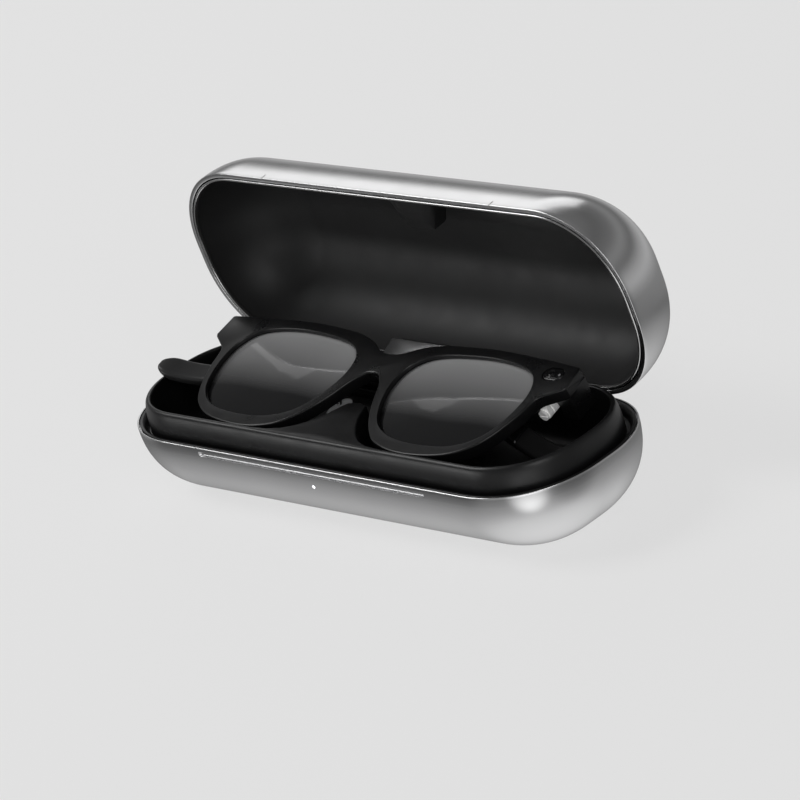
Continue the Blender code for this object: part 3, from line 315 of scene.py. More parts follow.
def lens_glass():
    """Grey lens with a painted reflection: pale towards the brow, with a wavy edge, and clear and
    dark towards the cheek.
    """
    made, tree, shader = new_material("lens_glass")
    set_inputs(shader, {"Roughness": 0.05, "IOR": 1.6})
    where = add_node(tree, "TexCoord").outputs["Object"]
    turned = add_node(tree, "Mapping", {"Rotation": (-FRONT_TILT, 0, 0)})
    link(where, turned.inputs["Vector"])
    split = add_node(tree, "SeparateXYZ")
    link(turned.outputs["Vector"], split.inputs["Vector"])
    drift = add_node(tree, "Math", {1: 8 * MM})
    drift.operation = "MULTIPLY_ADD"
    link(add_noise(tree, where, 24.0, 1.0), drift.inputs[0])
    link(split.outputs["Y"], drift.inputs[2])
    fade = add_node(tree, "MapRange", {"From Min": PAINTED_REFLECTION_LOW, "From Max": PAINTED_REFLECTION_HIGH})
    link(drift.outputs["Value"], fade.inputs["Value"])
    share = fade.outputs["Result"]
    # Painted reflection: the base colour runs from near black low on the lens to pale towards the
    # brow, standing in for the studio mirrored there.
    painted_reflection = add_ramp(tree, share, (0.02, 0.02, 0.021), (0.8, 0.8, 0.805))
    link(painted_reflection.outputs["Color"], shader.inputs["Base Color"])
    tint = add_ramp(tree, share, (0.45, 0.45, 0.46), (0.42, 0.42, 0.43))
    clear = add_node(tree, "BsdfTransparent")
    link(tint.outputs["Color"], clear.inputs["Color"])
    mix_surfaces(tree, clear, shader).inputs["Fac"].default_value = 0.7
    return made


def mix_surfaces(tree, first, second):
    """Send a mix of two shaders to the material's surface."""
    mix = add_node(tree, "MixShader")
    link(first.outputs["BSDF"], mix.inputs[1])
    link(second.outputs["BSDF"], mix.inputs[2])
    link(mix.outputs["Shader"], tree.nodes["Material Output"].inputs["Surface"])
    return mix


def lamp(name, colour, strength):
    return finish(name, colour, 0.25, bump=0.005,
                  extra={"Emission Color": (*colour, 1), "Emission Strength": strength})


SILVER = finish("satin_silver", (0.7, 0.7, 0.705), 0.2, 1.0, grain=2600, bump=0.006,
                rough_swing=0.015, tone_swing=0.015)
POLISHED = finish("polished_edge", (0.6, 0.6, 0.6), 0.24, 1.0, grain=1800, bump=0.003,
                  rough_swing=0.02, tone_swing=0.02)
STEEL = finish("bright_steel", (0.78, 0.78, 0.77), 0.2, 1.0, grain=1500, bump=0.02,
               stretch=(0.15, 1, 1), tone_swing=0.05)
# Bright nickel; its faint white emission is painted light that brightens the hinge parts, which
# are no lamp, as if lit.
NICKEL_PAINTED_LIGHT = finish("hinge_nickel_painted_light", (0.95, 0.95, 0.94), 0.36, 0.25, grain=1600, bump=0.01,
                rough_swing=0.03, tone_swing=0.03,
                extra={"Emission Color": (1, 1, 1, 1), "Emission Strength": 0.12})
GOLD = finish("gold_plate", (0.83, 0.62, 0.27), 0.22, 1.0, bump=0.02)
TRAY = finish("tray_black", (0.0065, 0.0065, 0.007), 0.36, grain=3000, bump=0.02,
              tone_swing=0.12, rough_swing=0.04)
LINER = finish("liner_black", (0.019, 0.019, 0.0195), 0.5, grain=3200, bump=0.03,
               tone_swing=0.12, rough_swing=0.03)
FRAME = finish("frame_black", (0.006, 0.006, 0.0065), 0.3, grain=2400, bump=0.004,
               tone_swing=0.1, rough_swing=0.04)
SLEEVE = finish("sleeve_black", (0.026, 0.026, 0.0265), 0.42, grain=3600, bump=0.03)
GLOSS = finish("window_black", (0.007, 0.007, 0.0075), 0.14, grain=900, bump=0.002,
               rough_swing=0.02, coat=0.5)
BOARD = finish("board_green", (0.02, 0.12, 0.06), 0.4, grain=1200, bump=0.15, coat=0.3)
CELL = finish("cell_grey", (0.45, 0.46, 0.48), 0.35, 0.4, grain=700, bump=0.1)
WHITE_LAMP = lamp("status_white", (0.95, 0.96, 1.0), 2.5)
DARK_LAMP = lamp("capture_white", (0.25, 0.25, 0.26), 0.0)
LENS = lens_glass()
SILICONE = finish("clear_silicone", (0.9, 0.91, 0.92), 0.16, bump=0.005, tone_swing=0.03,
                  extra={"Transmission Weight": 0.2, "IOR": 1.41})


# ---- mesh helpers
def add_object(name, data):
    made = bpy.data.objects.new(name, data)
    bpy.context.scene.collection.objects.link(made)
    return made


def mesh_of(name, data, place):
    """Turn a bmesh, moved by place, into a mesh whose faces point outwards."""
    if place is not None:
        bmesh.ops.transform(data, matrix=place, verts=data.verts)
    bmesh.ops.recalc_face_normals(data, faces=data.faces)
    mesh = bpy.data.meshes.new(name)
    data.to_mesh(mesh)
    data.free()
    return mesh


def put(name, data, body, material, stands_for=(), place=None, sharp=SHARP_ANGLE):
    """Make a piece from a bmesh, let it ride on a body and stand for its CAD nodes."""
    mesh = mesh_of(name, data, place)
    mesh.shade_smooth()
    mesh.set_sharp_from_angle(angle=math.radians(sharp))
    mesh.materials.append(material)
    made = add_object(name, mesh)
    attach(made, body)
    for node in stands_for:
        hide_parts(node)
    return made


def skin(rings, looped=False):
    """Skin a list of equal rings; the two ends are capped, or joined when looped."""
    data = bmesh.new()
    rows = [[data.verts.new(point) for point in ring] for ring in rings]
    count = len(rows[0])
    pairs = list(zip(rows, rows[1:]))
    if looped:
        pairs.append((rows[-1], rows[0]))
    for lower, upper in pairs:
        for k in range(count):
            after = (k + 1) % count
            data.faces.new((lower[k], lower[after], upper[after], upper[k]))
    if not looped:
        data.faces.new(list(reversed(rows[0])))
        data.faces.new(rows[-1])
    return data


def carve(made, guide_data, operation="DIFFERENCE", place=None):
    """Apply one exact Boolean to a piece and throw the operand away."""
    guide = add_object("operand", mesh_of("operand", guide_data, place))
    step = made.modifiers.new("carve", "BOOLEAN")
    step.operation = operation
    step.solver = "EXACT"
    step.object = guide
    bpy.context.view_layer.update()
    graph = bpy.context.evaluated_depsgraph_get()
    result = bpy.data.meshes.new_from_object(made.evaluated_get(graph))
    made.modifiers.clear()
    old = made.data
    made.data = result
    bpy.data.meshes.remove(old)
    bpy.data.objects.remove(guide)
    made.data.shade_smooth()
    made.data.set_sharp_from_angle(angle=math.radians(SHARP_ANGLE))


def soften(made, width):
    """Round a piece's sharp edges with a Bevel modifier."""
    bevel = made.modifiers.new("edges", "BEVEL")
    bevel.width = width
    bevel.segments = 2
    bevel.limit_method = "ANGLE"
    bevel.angle_limit = math.radians(SHARP_ANGLE)
    bevel.harden_normals = True


def quarter_turn(count):
    """(1 - cos, 1 - sin) at places along a quarter turn, for rounding an edge."""
    angles = [k / (count - 1) * math.pi / 2 for k in range(count)]
    return [(1 - math.cos(angle), 1 - math.sin(angle)) for angle in angles]


QUARTER = quarter_turn(5)
TURNED = QUARTER[::-1]


def circle(radius, z, sides):
    return [Vector((radius * math.cos(2 * math.pi * k / sides),
                    radius * math.sin(2 * math.pi * k / sides), z)) for k in range(sides)]


def corners(x0, y0, x1, y1):
    return (x0, y0), (x1, y0), (x1, y1), (x0, y1)


def rod(start, end, radius, sides=48, rounding=0.0):
    """A straight round bar, with its two rims rounded when rounding is given."""
    start = Vector(start)
    end = Vector(end)
    length = (end - start).length
    turn = Vector((0, 0, 1)).rotation_difference(end - start).to_matrix()
    stations = [(0, radius - rounding), (length, radius - rounding)]
    if rounding > 0:
        stations = [(rounding * a, radius - rounding * b) for a, b in QUARTER]
        stations += [(length - rounding * a, radius - rounding * b) for a, b in TURNED]
    return skin([[start + turn @ flat for flat in circle(size, along, sides)]
                 for along, size in stations])


def pill_ring(half_length, half_width, z):
    ring = []
    sides = 48
    reach = half_length - half_width
    for k in range(sides):
        angle = 2 * math.pi * (k + 0.5) / sides
        side = reach if math.cos(angle) > 0 else -reach
        ring.append(Vector((side + half_width * math.cos(angle),
                            half_width * math.sin(angle), z)))
    return ring


def pill(half_length, half_width, low, high, rounding=0.0, dome=0.0):
    """An upright block with round ends; its upper rim is rounded, its top may be domed."""
    rings = [pill_ring(half_length, half_width, low)]
    if rounding <= 0:
        return skin(rings + [pill_ring(half_length, half_width, high)])
    for a, b in quarter_turn(6):
        inwards = rounding * a
        rings.append(pill_ring(half_length - inwards, half_width - inwards, high - rounding * b))
    for share in (0.6, 0.3):
        rings.append(pill_ring((half_length - rounding) * share, (half_width - rounding) * share,
                               high + dome * (1 - share * share)))
    return skin(rings)


def box(low, high):
    (x0, y0, z0), (x1, y1, z1) = low, high
    return skin([[Vector((x, y, z)) for x, y in corners(x0, y0, x1, y1)] for z in (z0, z1)])


def curve_through(points, steps, closed=False):
    """A smooth curve through points; an open one keeps its two ends."""
    points = [Vector(point) for point in points]
    count = len(points)
    if not closed:
        points = [points[0]] + points + [points[-1]]
    result = []
    for k in range(count if closed else count - 1):
        picks = [(k + n) % count for n in (-1, 0, 1, 2)] if closed else range(k, k + 4)
        a, b, c, d = (points[pick] for pick in picks)
        for step in range(steps):
            t = step / steps
            result.append(0.5 * ((2 * b) + (c - a) * t + (2 * a - 5 * b + 4 * c - d) * t * t
                                 + (3 * b - a - 3 * c + d) * t ** 3))
    if not closed:
        result.append(points[-1])
    return result


def grown(outline, amount):
    """Offset a counter-clockwise outline outwards by amount."""
    count = len(outline)
    result = []
    for k in range(count):
        along = outline[(k + 1) % count] - outline[k - 1]
        result.append(outline[k] + Vector((along.y, -along.x)).normalized() * amount)
    return result


def at_height(outline, z):
    return [Vector((point.x, point.y, z)) for point in outline]


def ease(value):
    value = min(max(value, 0.0), 1.0)
    return value * value * (3 - 2 * value)


def run_share(run, place):
    """Share of a run, given as start and length, that is behind a place."""
    return (place - run[0]) / run[1]


def spread(start, end, count):
    return [start + (end - start) * k / (count - 1) for k in range(count)]


# ---- case outline and section
def run_stations():
    """Places along the straight front and back, closer together at the groove's two ends."""
    fine = spread(GRIP_HALF - 1.4 * MM, GRIP_HALF + 0.3 * MM, 12)
    right = spread(3 * MM, 45 * MM, 20) + fine + spread(50 * MM, 61 * MM, 5)
    return [-x for x in reversed(right)] + [0.0] + right


RUN_XS = run_stations()


def case_ring(inset, z, setback=0.0):
    """The case's plan outline, moved inwards by inset, counter-clockwise from the right end."""
    half_x = CASE_HALF_LENGTH - inset
    half_y = CASE_HALF_DEPTH - inset - setback / 2
    radius = min(CORNER_RADIUS - inset, half_y - 0.05 * MM)
    ring = []
    for quarter, (side_x, side_y) in enumerate(((1, 1), (-1, 1), (-1, -1), (1, -1))):
        for k in range(CORNER_STEPS):
            angle = (quarter + k / (CORNER_STEPS - 1)) * math.pi / 2
            x = abs(math.cos(angle)) ** (2 / CORNER_POWER)
            y = abs(math.sin(angle)) ** (2 / CORNER_POWER)
            ring.append(Vector((side_x * (half_x - radius + radius * x),
                                side_y * (half_y - radius + radius * y) - setback / 2, z)))
        if quarter == 0:
            ring += [Vector((-x, half_y - setback / 2, z)) for x in RUN_XS]
        if quarter == 2:
            ring += [Vector((x, -half_y - setback / 2, z)) for x in RUN_XS]
    return ring


FRONT_RUN = range(3 * CORNER_STEPS + len(RUN_XS), 3 * CORNER_STEPS + 2 * len(RUN_XS))


def section(curve, extra=(), steps=26):
    """(inset, depth) pairs of a shell's section, from the parting line to its flat."""
    depth, inset, power, blend, flat = curve

    def depth_at(distance):
        return depth * (1 - (1 - distance / inset) ** power) ** (1 / power)

    blend_depth = depth_at(blend)
    drops = sorted([blend_depth * math.sin(0.5 * math.pi * k / steps) for k in range(steps)]
                   + list(extra))
    pairs = [(inset * (1 - (1 - (drop / depth) ** power) ** (1 / power)), drop)
             for drop in drops]
    slope = (depth_at(blend + MM / 100) - depth_at(blend - MM / 100)) / (MM / 50)
    reach = flat - blend
    for k in range(9):
        run = reach * k / 8
        pairs.append((blend + run, blend_depth + slope * (run - run * run / (2 * reach))))
    return pairs


def offset_section(pairs, amount):
    """The same section moved inwards, square to itself."""
    result = []
    for k, (inset, drop) in enumerate(pairs):
        before = pairs[max(k - 1, 0)]
        after = pairs[min(k + 1, len(pairs) - 1)]
        run = Vector((after[0] - before[0], after[1] - before[1])).normalized()
        if k == 0:
            run = Vector((0, 1))
        if k == len(pairs) - 1:
            run = Vector((1, 0))
        result.append((inset + run.y * amount, drop - run.x * amount))
    return result


def inset_at(pairs, drop):
    for (inset_a, drop_a), (inset_b, drop_b) in zip(pairs, pairs[1:]):
        if drop_a <= drop <= drop_b:
            return inset_a + (inset_b - inset_a) * (drop - drop_a) / (drop_b - drop_a)
    return pairs[-1][0]


def rounded_rim(outer, inner, size):
    """Insets and drops that carry an outer wall over a rounded rim to the inner wall."""
    return ([(outer[0] + size * a, size * b) for a, b in QUARTER]
            + [(inner[0] - size * a, size * b) for a, b in TURNED])


def shell_pairs(curve, wall, rim):
    """The closed section of a shell: outer wall from the flat, rim, inner wall to the flat."""
    outer = section(curve)
    inner = offset_section(section(curve, steps=18), wall)
    return ([pair for pair in reversed(outer) if pair[1] > rim]
            + rounded_rim(outer[0], inner[0], rim) + [pair for pair in inner if pair[1] > rim])


# ---- case base
def groove_depth(x, drop):
    """Depth of the finger groove at a place on the front wall, given below the rim."""
    beyond = max(0.0, abs(x) - (GRIP_HALF - GRIP_HALF_HEIGHT))
    distance = math.hypot(beyond, drop - GRIP_CENTRE_DROP) - GRIP_HALF_HEIGHT
    return GRIP_DEPTH * ease(-distance / GRIP_EDGE)


def build_base_shell():
    around = spread(GRIP_CENTRE_DROP - 1.0 * MM, GRIP_CENTRE_DROP + 1.0 * MM, 25)
    outer = section(BASE_CURVE, around)
    inner = offset_section(section(BASE_CURVE, steps=18), BASE_WALL)
    pairs = [pair for pair in reversed(outer) if pair[1] > BASE_RIM_ROUND]
    split = len(pairs)
    pairs += rounded_rim((0, 0), (RIM_WALL, 0), BASE_RIM_ROUND)
    pairs += [(RIM_WALL, LIP_DROP), (BASE_WALL, LIP_DROP)]
    pairs += [pair for pair in inner if pair[1] > LIP_DROP]
    rings = []
    for row, (inset, drop) in enumerate(pairs):
        ring = case_ring(inset, RIM_Z - drop)
        if row < split:
            for k in FRONT_RUN:
                ring[k].y += groove_depth(ring[k].x, drop)
        rings.append(ring)
    shell = put("case_base_shell", skin(rings), "case_base", SILVER, ("base_shell",))
    port = skin([pill_ring(*PORT_HOLE, z) for z in (0, 14 * MM)])
    carve(shell, port, place=Matrix.Translation((0, 19 * MM, PORT_Z))
          @ Matrix.Rotation(-math.pi / 2, 4, "X"))
    carve(shell, rod(pair_button_point(-6 * MM), pair_button_point(4 * MM), PAIR_HOLE_RADIUS))
    light_z = RIM_Z - LED_DROP
    carve(shell, rod((0, -32 * MM, light_z), (0, -26 * MM, light_z), LED_HOLE_RADIUS, 24))
    dome = rod((0, -CASE_HALF_DEPTH + 0.62 * MM, light_z), (0, -27 * MM, light_z), LED_RADIUS, 24,
               rounding=0.15 * MM)
    put("status_light_pipe", dome, "case_base", WHITE_LAMP, ("status_light",))


def pair_button_point(outwards):
    """A point on the pairing button's axis, at a distance outwards from the wall."""
    pairs = section(BASE_CURVE)
    surface = CASE_HALF_DEPTH - inset_at(pairs, RIM_Z - PAIR_BUTTON_Z)
    axis = Vector((0, math.cos(PAIR_BUTTON_SLOPE), -math.sin(PAIR_BUTTON_SLOPE)))
    return Vector((PAIR_BUTTON_X, surface, PAIR_BUTTON_Z)) + axis * outwards


def nose_half_width(y):
    share = min(max(run_share(NOSE_TAPER_RUN, y), 0.0), 1.0)
    flare = NOSE_FLARE * math.exp(-(y - NOSE_FRONT) / NOSE_FLARE_RUN)
    return NOSE_SLIM + NOSE_WIDEN * (1 - share) ** NOSE_TAPER_POWER + flare


def nose_outline_point(share):
    """A point on the nose rest's outline; share runs from -1 at the left to 1 at the right."""
    side = 1 if share > 0 else -1
    size = abs(share)
    turn_y = NOSE_BACK - NOSE_ROUND
    if size < NOSE_END_SHARE:
        angle = size / NOSE_END_SHARE * math.pi / 2
        return Vector((side * nose_half_width(turn_y) * math.sin(angle),
                       turn_y + NOSE_ROUND * math.cos(angle)))
    along = ((size - NOSE_END_SHARE) / (1 - NOSE_END_SHARE)) ** 0.8
    y = turn_y - (turn_y - NOSE_FRONT) * along
    return Vector((side * nose_half_width(y), y))


def cavity_outline():
    """The tray's opening: the collar's inner wall, broken at the front by the nose rest."""
    outline = [Vector((p.x, p.y)) for p in case_ring(COLLAR_INSET, 0, TRAY_SETBACK)]
    for k in FRONT_RUN:
        if abs(outline[k].x) <= NOSE_REACH:
            outline[k] = nose_outline_point(outline[k].x / NOSE_REACH)
    return outline


def build_tray():
    rings = []
    for rows, setback in ((TRAY_UNDER, TRAY_SETBACK), (TRAY_LIP, 0.0),
                          (TRAY_COLLAR, TRAY_SETBACK)):
        rings += [case_ring(inset * MM, RIM_Z + rise * MM, setback) for inset, rise in rows]
    opening = cavity_outline()
    edge = rings[-1]
    crest = at_height(grown(opening, CAVITY[0][0] * MM), COLLAR_Z)
    for share in (0.15, 0.4, 0.7):
        ring = []
        for a, b in zip(edge, crest):
            x = a.x + (b.x - a.x) * share
            y = a.y + (b.y - a.y) * share
            ring.append(Vector((x, y, nose_height(x, y, share))))
        rings.append(ring)
    for margin, drop in CAVITY:
        ring = at_height(grown(opening, margin * MM), 0)
        for point in ring:
            point.z = nose_height(point.x, point.y, 1.0) - drop * MM
            if drop > CLIMB_DEPTH:
                point.z = COLLAR_Z - drop * MM
        rings.append(ring)
    tray = put("case_tray", skin(rings), "case_base", TRAY, ("base_tray", "nose_rest"))
    relief_side = HINGE_HALF_WIDTH + 1 * MM
    relief = box((-relief_side, 25.7 * MM, RIM_Z - 5 * MM),
                 (relief_side, 32 * MM, RIM_Z - 1 * MM))
    carve(tray, relief)


def nose_height(x, y, share):
    """Height of the tray's top: level at the collar, climbing along the nose rest."""
    lift = 0.0
    if abs(x) < NOSE_REACH:
        lift = NOSE_CLIMB * ease(run_share(NOSE_CLIMB_RUN, y))
    return COLLAR_Z + lift * share - 0.05 * MM * (1 - share)


def build_base_fittings():
    rings = []
    edge = COVER_EDGE * MM
    for x, shrink in ((-COVER_HALF, COVER_EDGE), (-COVER_HALF + edge, 0), (COVER_HALF - edge, 0),
                      (COVER_HALF, COVER_EDGE)):
        ring = []
        for point in COVER_PLATE:
            point = Vector(point)
            pulled = point + (COVER_CENTRE - point).normalized() * shrink
            ring.append(Vector((x, pulled.x * MM, RIM_Z + pulled.y * MM)))
        rings.append(ring)
    put("hinge_cover_plate", skin(rings), "case_base", SILVER, ("hinge_cover",))

    cap = rod(pair_button_point(-3.2 * MM), pair_button_point(0.2 * MM), PAIR_BUTTON_RADIUS,
              rounding=0.3 * MM)
    put("pairing_button", cap, "pair_button", TRAY, ("pair_button",))
    port_low, port_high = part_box("usb_port")
    rings = []
    for y, wall in ((port_low.y, 0), (port_high.y - 0.15 * MM, 0), (port_high.y, 0.12 * MM),
                    (port_high.y, 0.2 * MM), (port_high.y - 0.1 * MM, 0.3 * MM),
                    (port_low.y + 0.5 * MM, 0.3 * MM)):
        flat = pill_ring(PORT_SLEEVE[0] - wall, PORT_SLEEVE[1] - wall, 0)
        rings.append([Vector((p.x, y, PORT_Z + p.y)) for p in flat])
    put("charging_port", skin(rings), "case_base", STEEL, ("usb_port",))


# ---- lid
def lid_rings(pairs):
    return [case_ring(inset, LID_RIM_Z + drop) for inset, drop in pairs]


def boss_height(x, drop):
    """How far the magnet boss stands in from the lid's front wall."""
    side = ease((BOSS_HALF - abs(x)) / BOSS_SIDE_RUN)
    if abs(x) < BOSS_FLAT_HALF:
        side = 1.0
    rise = ease(run_share(BOSS_RISE_RUN, drop))
    return (BOSS_STAND + BOSS_CROWN * side) * side * rise


def build_lid():
    pairs = shell_pairs(LID_CURVE, LID_WALL, LID_RIM_ROUND)
    shell = put("case_lid_shell", skin(lid_rings(pairs)), "lid", SILVER, ("lid_shell",), LID)
    notch_side = HINGE_HALF_WIDTH + 1.3 * MM
    notch_top = LID_AXIS.z + 2.1 * MM
    tick_half = 0.22 * MM
    for x in (-GRIP_HALF, GRIP_HALF):
        tick = box((x - tick_half, -CASE_HALF_DEPTH - 1 * MM, LID_RIM_Z - 1 * MM),
                   (x + tick_half, -CASE_HALF_DEPTH + 0.4 * MM, LID_RIM_Z + 2.0 * MM))
        carve(shell, tick, place=LID)
    notch_box = ((-notch_side, 26.5 * MM, RIM_Z - 2 * MM), (notch_side, 33 * MM, notch_top))
    carve(shell, box(*notch_box), place=LID)

    outside = LID_WALL + 0.4 * MM
    inside = outside + 0.7 * MM
    low = LID_RIM_Z
    high = LID_RIM_Z + 2.6 * MM
    shelf = LID_RIM_Z + 0.45 * MM
    ring_section = ((outside, low + 0.15 * MM), (outside + 0.15 * MM, low),
                    (inside - 0.15 * MM, low), (inside, low + 0.15 * MM), (inside, shelf),
                    (outside + 0.35 * MM, shelf + 0.1 * MM), (outside + 0.35 * MM, high),
                    (outside + 0.1 * MM, high))
    trim = put("lid_rim_ring", skin([case_ring(i, z) for i, z in ring_section], looped=True),
               "lid", POLISHED, ("lid_trim",), LID)
    carve(trim, box(*notch_box), place=LID)

    start = 2.9 * MM
    mouth = 0.65 * MM
    profile = section(LID_CURVE, (start,), steps=40)
    outer = [pair for pair in offset_section(profile, outside) if pair[1] > start]
    inner = [pair for pair in offset_section(profile, inside) if pair[1] > mouth + 0.3 * MM]
    edge = outside + 0.45 * MM
    lining = list(reversed(outer)) + [(edge, start), (edge, mouth), (inside, mouth),
                                      (inside + 0.12 * MM, mouth + 0.15 * MM)]
    lining += inner
    turn = len(outer) + 2
    rings = lid_rings(lining)
    for row in range(turn, len(rings)):
        drop = lining[row][1]
        wall = rings[turn][FRONT_RUN[0]].y
        for k in FRONT_RUN:
            point = rings[row][k]
            out = point.y - wall
            stand = boss_height(point.x, drop) - out
            if stand > 0 and drop < BOSS_END:
                point.y += stand * ease((BOSS_END - drop) / BOSS_END_RUN)
    liner = put("lid_lining", skin(rings), "lid", LINER, ("lid_liner",), LID, sharp=40)
    leaf_room = box((-notch_side, 26.5 * MM, RIM_Z), (notch_side, 33 * MM, LID_AXIS.z + 5.2 * MM))
    carve(liner, leaf_room, place=LID)


# ---- glasses front
def front_outline():
    right = (curve_through(FRONT_TOP, 9) + [Vector(p) for p in FRONT_CORNER]
             + curve_through(FRONT_LOWER, 9))
    left = [Vector((-p.x, p.y)) for p in right[1:-1]]
    return [p * MM for p in reversed(right + list(reversed(left)))]


def lens_outline(side):
    outline = [p * MM for p in curve_through(LENS_POINTS, 10, closed=True)]
    if side < 0:
        outline = [Vector((-p.x, p.y)) for p in reversed(outline)]
    return outline


def rounded_layers(low, high, size):
    """(offset, height) pairs of a slab whose lower and upper edges are rounded."""
    return ([(-size * b, low + size * a) for a, b in QUARTER]
            + [(-size * b, high - size * a) for a, b in TURNED])


def build_front():
    outline = front_outline()
    layers = rounded_layers(-FRONT_THICKNESS, 0, FRONT_EDGE_ROUND)
    front = put("glasses_front", skin([at_height(grown(outline, more), z) for more, z in layers]),
                "glasses", FRAME, ("front_frame",), GLASSES)
    well_x, well_y = CONTACT_WELL
    for name, side in SIDES:
        rings = []
        for z, x0, x1, y0, y1 in ENDPIECE:
            rings.append([Vector((side * x, y, z)) * MM for x, y in corners(x0, y0, x1, y1)])
        carve(front, skin(rings), "UNION", GLASSES)
        opening = lens_outline(side)
        hole = skin([at_height(grown(opening, more), z) for z, more in LENS_OPENING])
        carve(front, hole, place=GLASSES)
        build_lens(name, side, opening)
        well = rod((side * well_x, well_y, -FRONT_THICKNESS - 1 * MM),
                   (side * well_x, well_y, -FRONT_THICKNESS + 1 * MM), CONTACT_WELL_RADIUS, 24)
        carve(front, well, place=GLASSES)
    build_camera(front)


def build_lens(name, side, opening):
    """A shallow curved lens with a rounded edge, seated in the rebate."""
    rim = grown(opening, 0.6 * MM)
    centre = Vector((side * LENS_CENTRE[0], LENS_CENTRE[1]))
    base = -REBATE - 0.35 * MM

    def face(level, shares):
        rings = []
        for share in shares:
            rise = LENS_BULGE * (1 - share * share)
            ring = [centre + (point - centre) * share for point in rim]
            rings.append(at_height(ring, base + level + rise))
        return rings

    rings = face(-LENS_THICKNESS, LENS_SHARES)
    rings += [at_height(rim, base - 1.2 * MM), at_height(rim, base - 0.25 * MM)]
    rings += face(0.0, reversed(LENS_SHARES))
    put("lens_" + name + "_glass", skin(rings), "glasses", LENS, ("lens_" + name,), GLASSES, 50)


def build_camera(front):
    at = Matrix.Translation((CAMERA_AT.x, CAMERA_AT.y, 0))
    carve(front, pill(3.9 * MM, 2.5 * MM, -1.1 * MM, 1 * MM), place=GLASSES @ at)
    for x, depth, radius, sides in ((CAMERA_LENS_X, FRONT_THICKNESS + 1 * MM, 2.0 * MM, 32),
                                    (CAMERA_LAMP_X, 2.6 * MM, 0.9 * MM, 24)):
        carve(front, rod((x, 0, -depth), (x, 0, 0), radius, sides), place=GLASSES @ at)
    window = pill(3.62 * MM, 2.22 * MM, -0.85 * MM, -0.02 * MM, 0.3 * MM, 0.12 * MM)
    put("camera_cover_glass", window, "glasses", GLOSS, ("camera_window",), GLASSES @ at)
    rings = []
    for radius, z in CAMERA_RING:
        rings.append([Vector((CAMERA_LENS_X + radius * MM * math.cos(2 * math.pi * k / 40),
                              radius * MM * math.sin(2 * math.pi * k / 40), z * MM))
                      for k in range(40)])
    put("camera_lens_ring", skin(rings), "glasses", GLOSS, (), GLASSES @ at)
    eye = rod((CAMERA_LENS_X, 0, 0), (CAMERA_LENS_X, 0, 0.28 * MM), 0.95 * MM, 32,
              rounding=0.25 * MM)
    put("camera_eye", eye, "glasses", GLOSS, (), GLASSES @ at)
    spark = rod((CAMERA_LAMP_X, 0, 0), (CAMERA_LAMP_X, 0, 0.16 * MM), 0.42 * MM, 24,
                rounding=0.12 * MM)
    put("capture_lamp_tip", spark, "glasses", DARK_LAMP, (), GLASSES @ at)


def build_nose_pads():
    for name, side in SIDES:
        data = bmesh.new()
        bmesh.ops.create_uvsphere(data, u_segments=40, v_segments=24, radius=1.0)
        for vert in data.verts:
            taper = 1.0 - 0.28 * (vert.co.y * 0.5 + 0.5)
            vert.co.x = math.copysign(abs(vert.co.x) ** 0.8, vert.co.x)
            vert.co.z *= taper
        shape = (Matrix.Translation((side * PAD_AT[0], *PAD_AT[1:]))
                 @ Matrix.Rotation(side * PAD_TURN, 4, "Y")
                 @ Matrix.Rotation(side * PAD_LEAN, 4, "Z") @ Matrix.Diagonal((*PAD_HALF_SIZE, 1)))
        put("nose_pad_" + name + "_soft", data, "glasses", SILICONE, ("nose_pad_" + name,),
            GLASSES @ shape)
        path = curve_through(PAD_ARM, 8)
        wire = tube([Vector((side * p.x, p.y, p.z)) * MM for p in path], PAD_ARM_RADIUS)
        put("pad_arm_" + name + "_wire", wire, "glasses", STEEL, ("pad_arm_" + name,), GLASSES)


def tube(path, radius):
    """A round wire along a path."""
    rings = []
    for k, centre in enumerate(path):
        ahead = path[min(k + 1, len(path) - 1)]
        behind = path[max(k - 1, 0)]
        turn = (ahead - behind).to_track_quat("Z", "Y").to_matrix()
        rings.append([centre + turn @ flat for flat in circle(radius, 0, 16)])
    return skin(rings)


# ---- temples
def temple_section(along):
    """Inner face, outer face, centre height and half height at a distance from the hinge."""
    slim = ease(run_share(SLIM_RUN, along))
    thin = ease(run_share(THIN_RUN, along))
    inner, outer, centre, half = [
        (start + slimmer * slim + thinner * thin) * MM for start, slimmer, thinner
        in (TEMPLE_INNER, TEMPLE_OUTER, TEMPLE_CENTRE, TEMPLE_HALF)]
    bend = max(0.0, run_share(BEND_RUN, along))
    shift = TIP_BEND * bend * bend
    fall = min(max(run_share(FALL_RUN, along), 0.0), 1.0)
    centre -= TIP_FALL * fall * fall * (2 - fall)
    tip = max(0.0, (along - (TEMPLE_LENGTH - TIP_ROUND)) / TIP_ROUND)
    round_off = math.sqrt(max(0.0, 1 - tip * tip))
    half *= 0.2 + 0.8 * round_off
    mid = (inner + outer) / 2
    thick = (outer - inner) / 2 * (0.3 + 0.7 * round_off)
    return mid - thick - shift, mid + thick - shift, centre, half


def temple_ring(side, along, inner, outer, low, high, corner):
    ring = []
    spans = ((outer - corner, high - corner), (inner + corner, high - corner),
             (inner + corner, low + corner), (outer - corner, low + corner))
    for quarter, (x, y) in enumerate(spans):
        for k in range(7):
            angle = (quarter + k / 6) * math.pi / 2
            ring.append(Vector((side * (x + corner * math.cos(angle)),
                                y + corner * math.sin(angle), -along)))
    return ring


def temple_skin(side, stations, ends):
    """A temple's skin through stations; its two end rings are drawn in by ends."""
    rings = []
    last = len(stations) - 1
    for k, along in enumerate(stations):
        inner, outer, centre, half = temple_section(along)
        trim = ends if k in (0, last) else 0.0
        low = centre - half + trim
        high = centre + half - trim
        size = min(TEMPLE_CORNER, (outer - inner) * 0.47, (high - low) * 0.47)
        rings.append(temple_ring(side, along, inner + trim, outer - trim, low, high, size))
    return skin(rings)


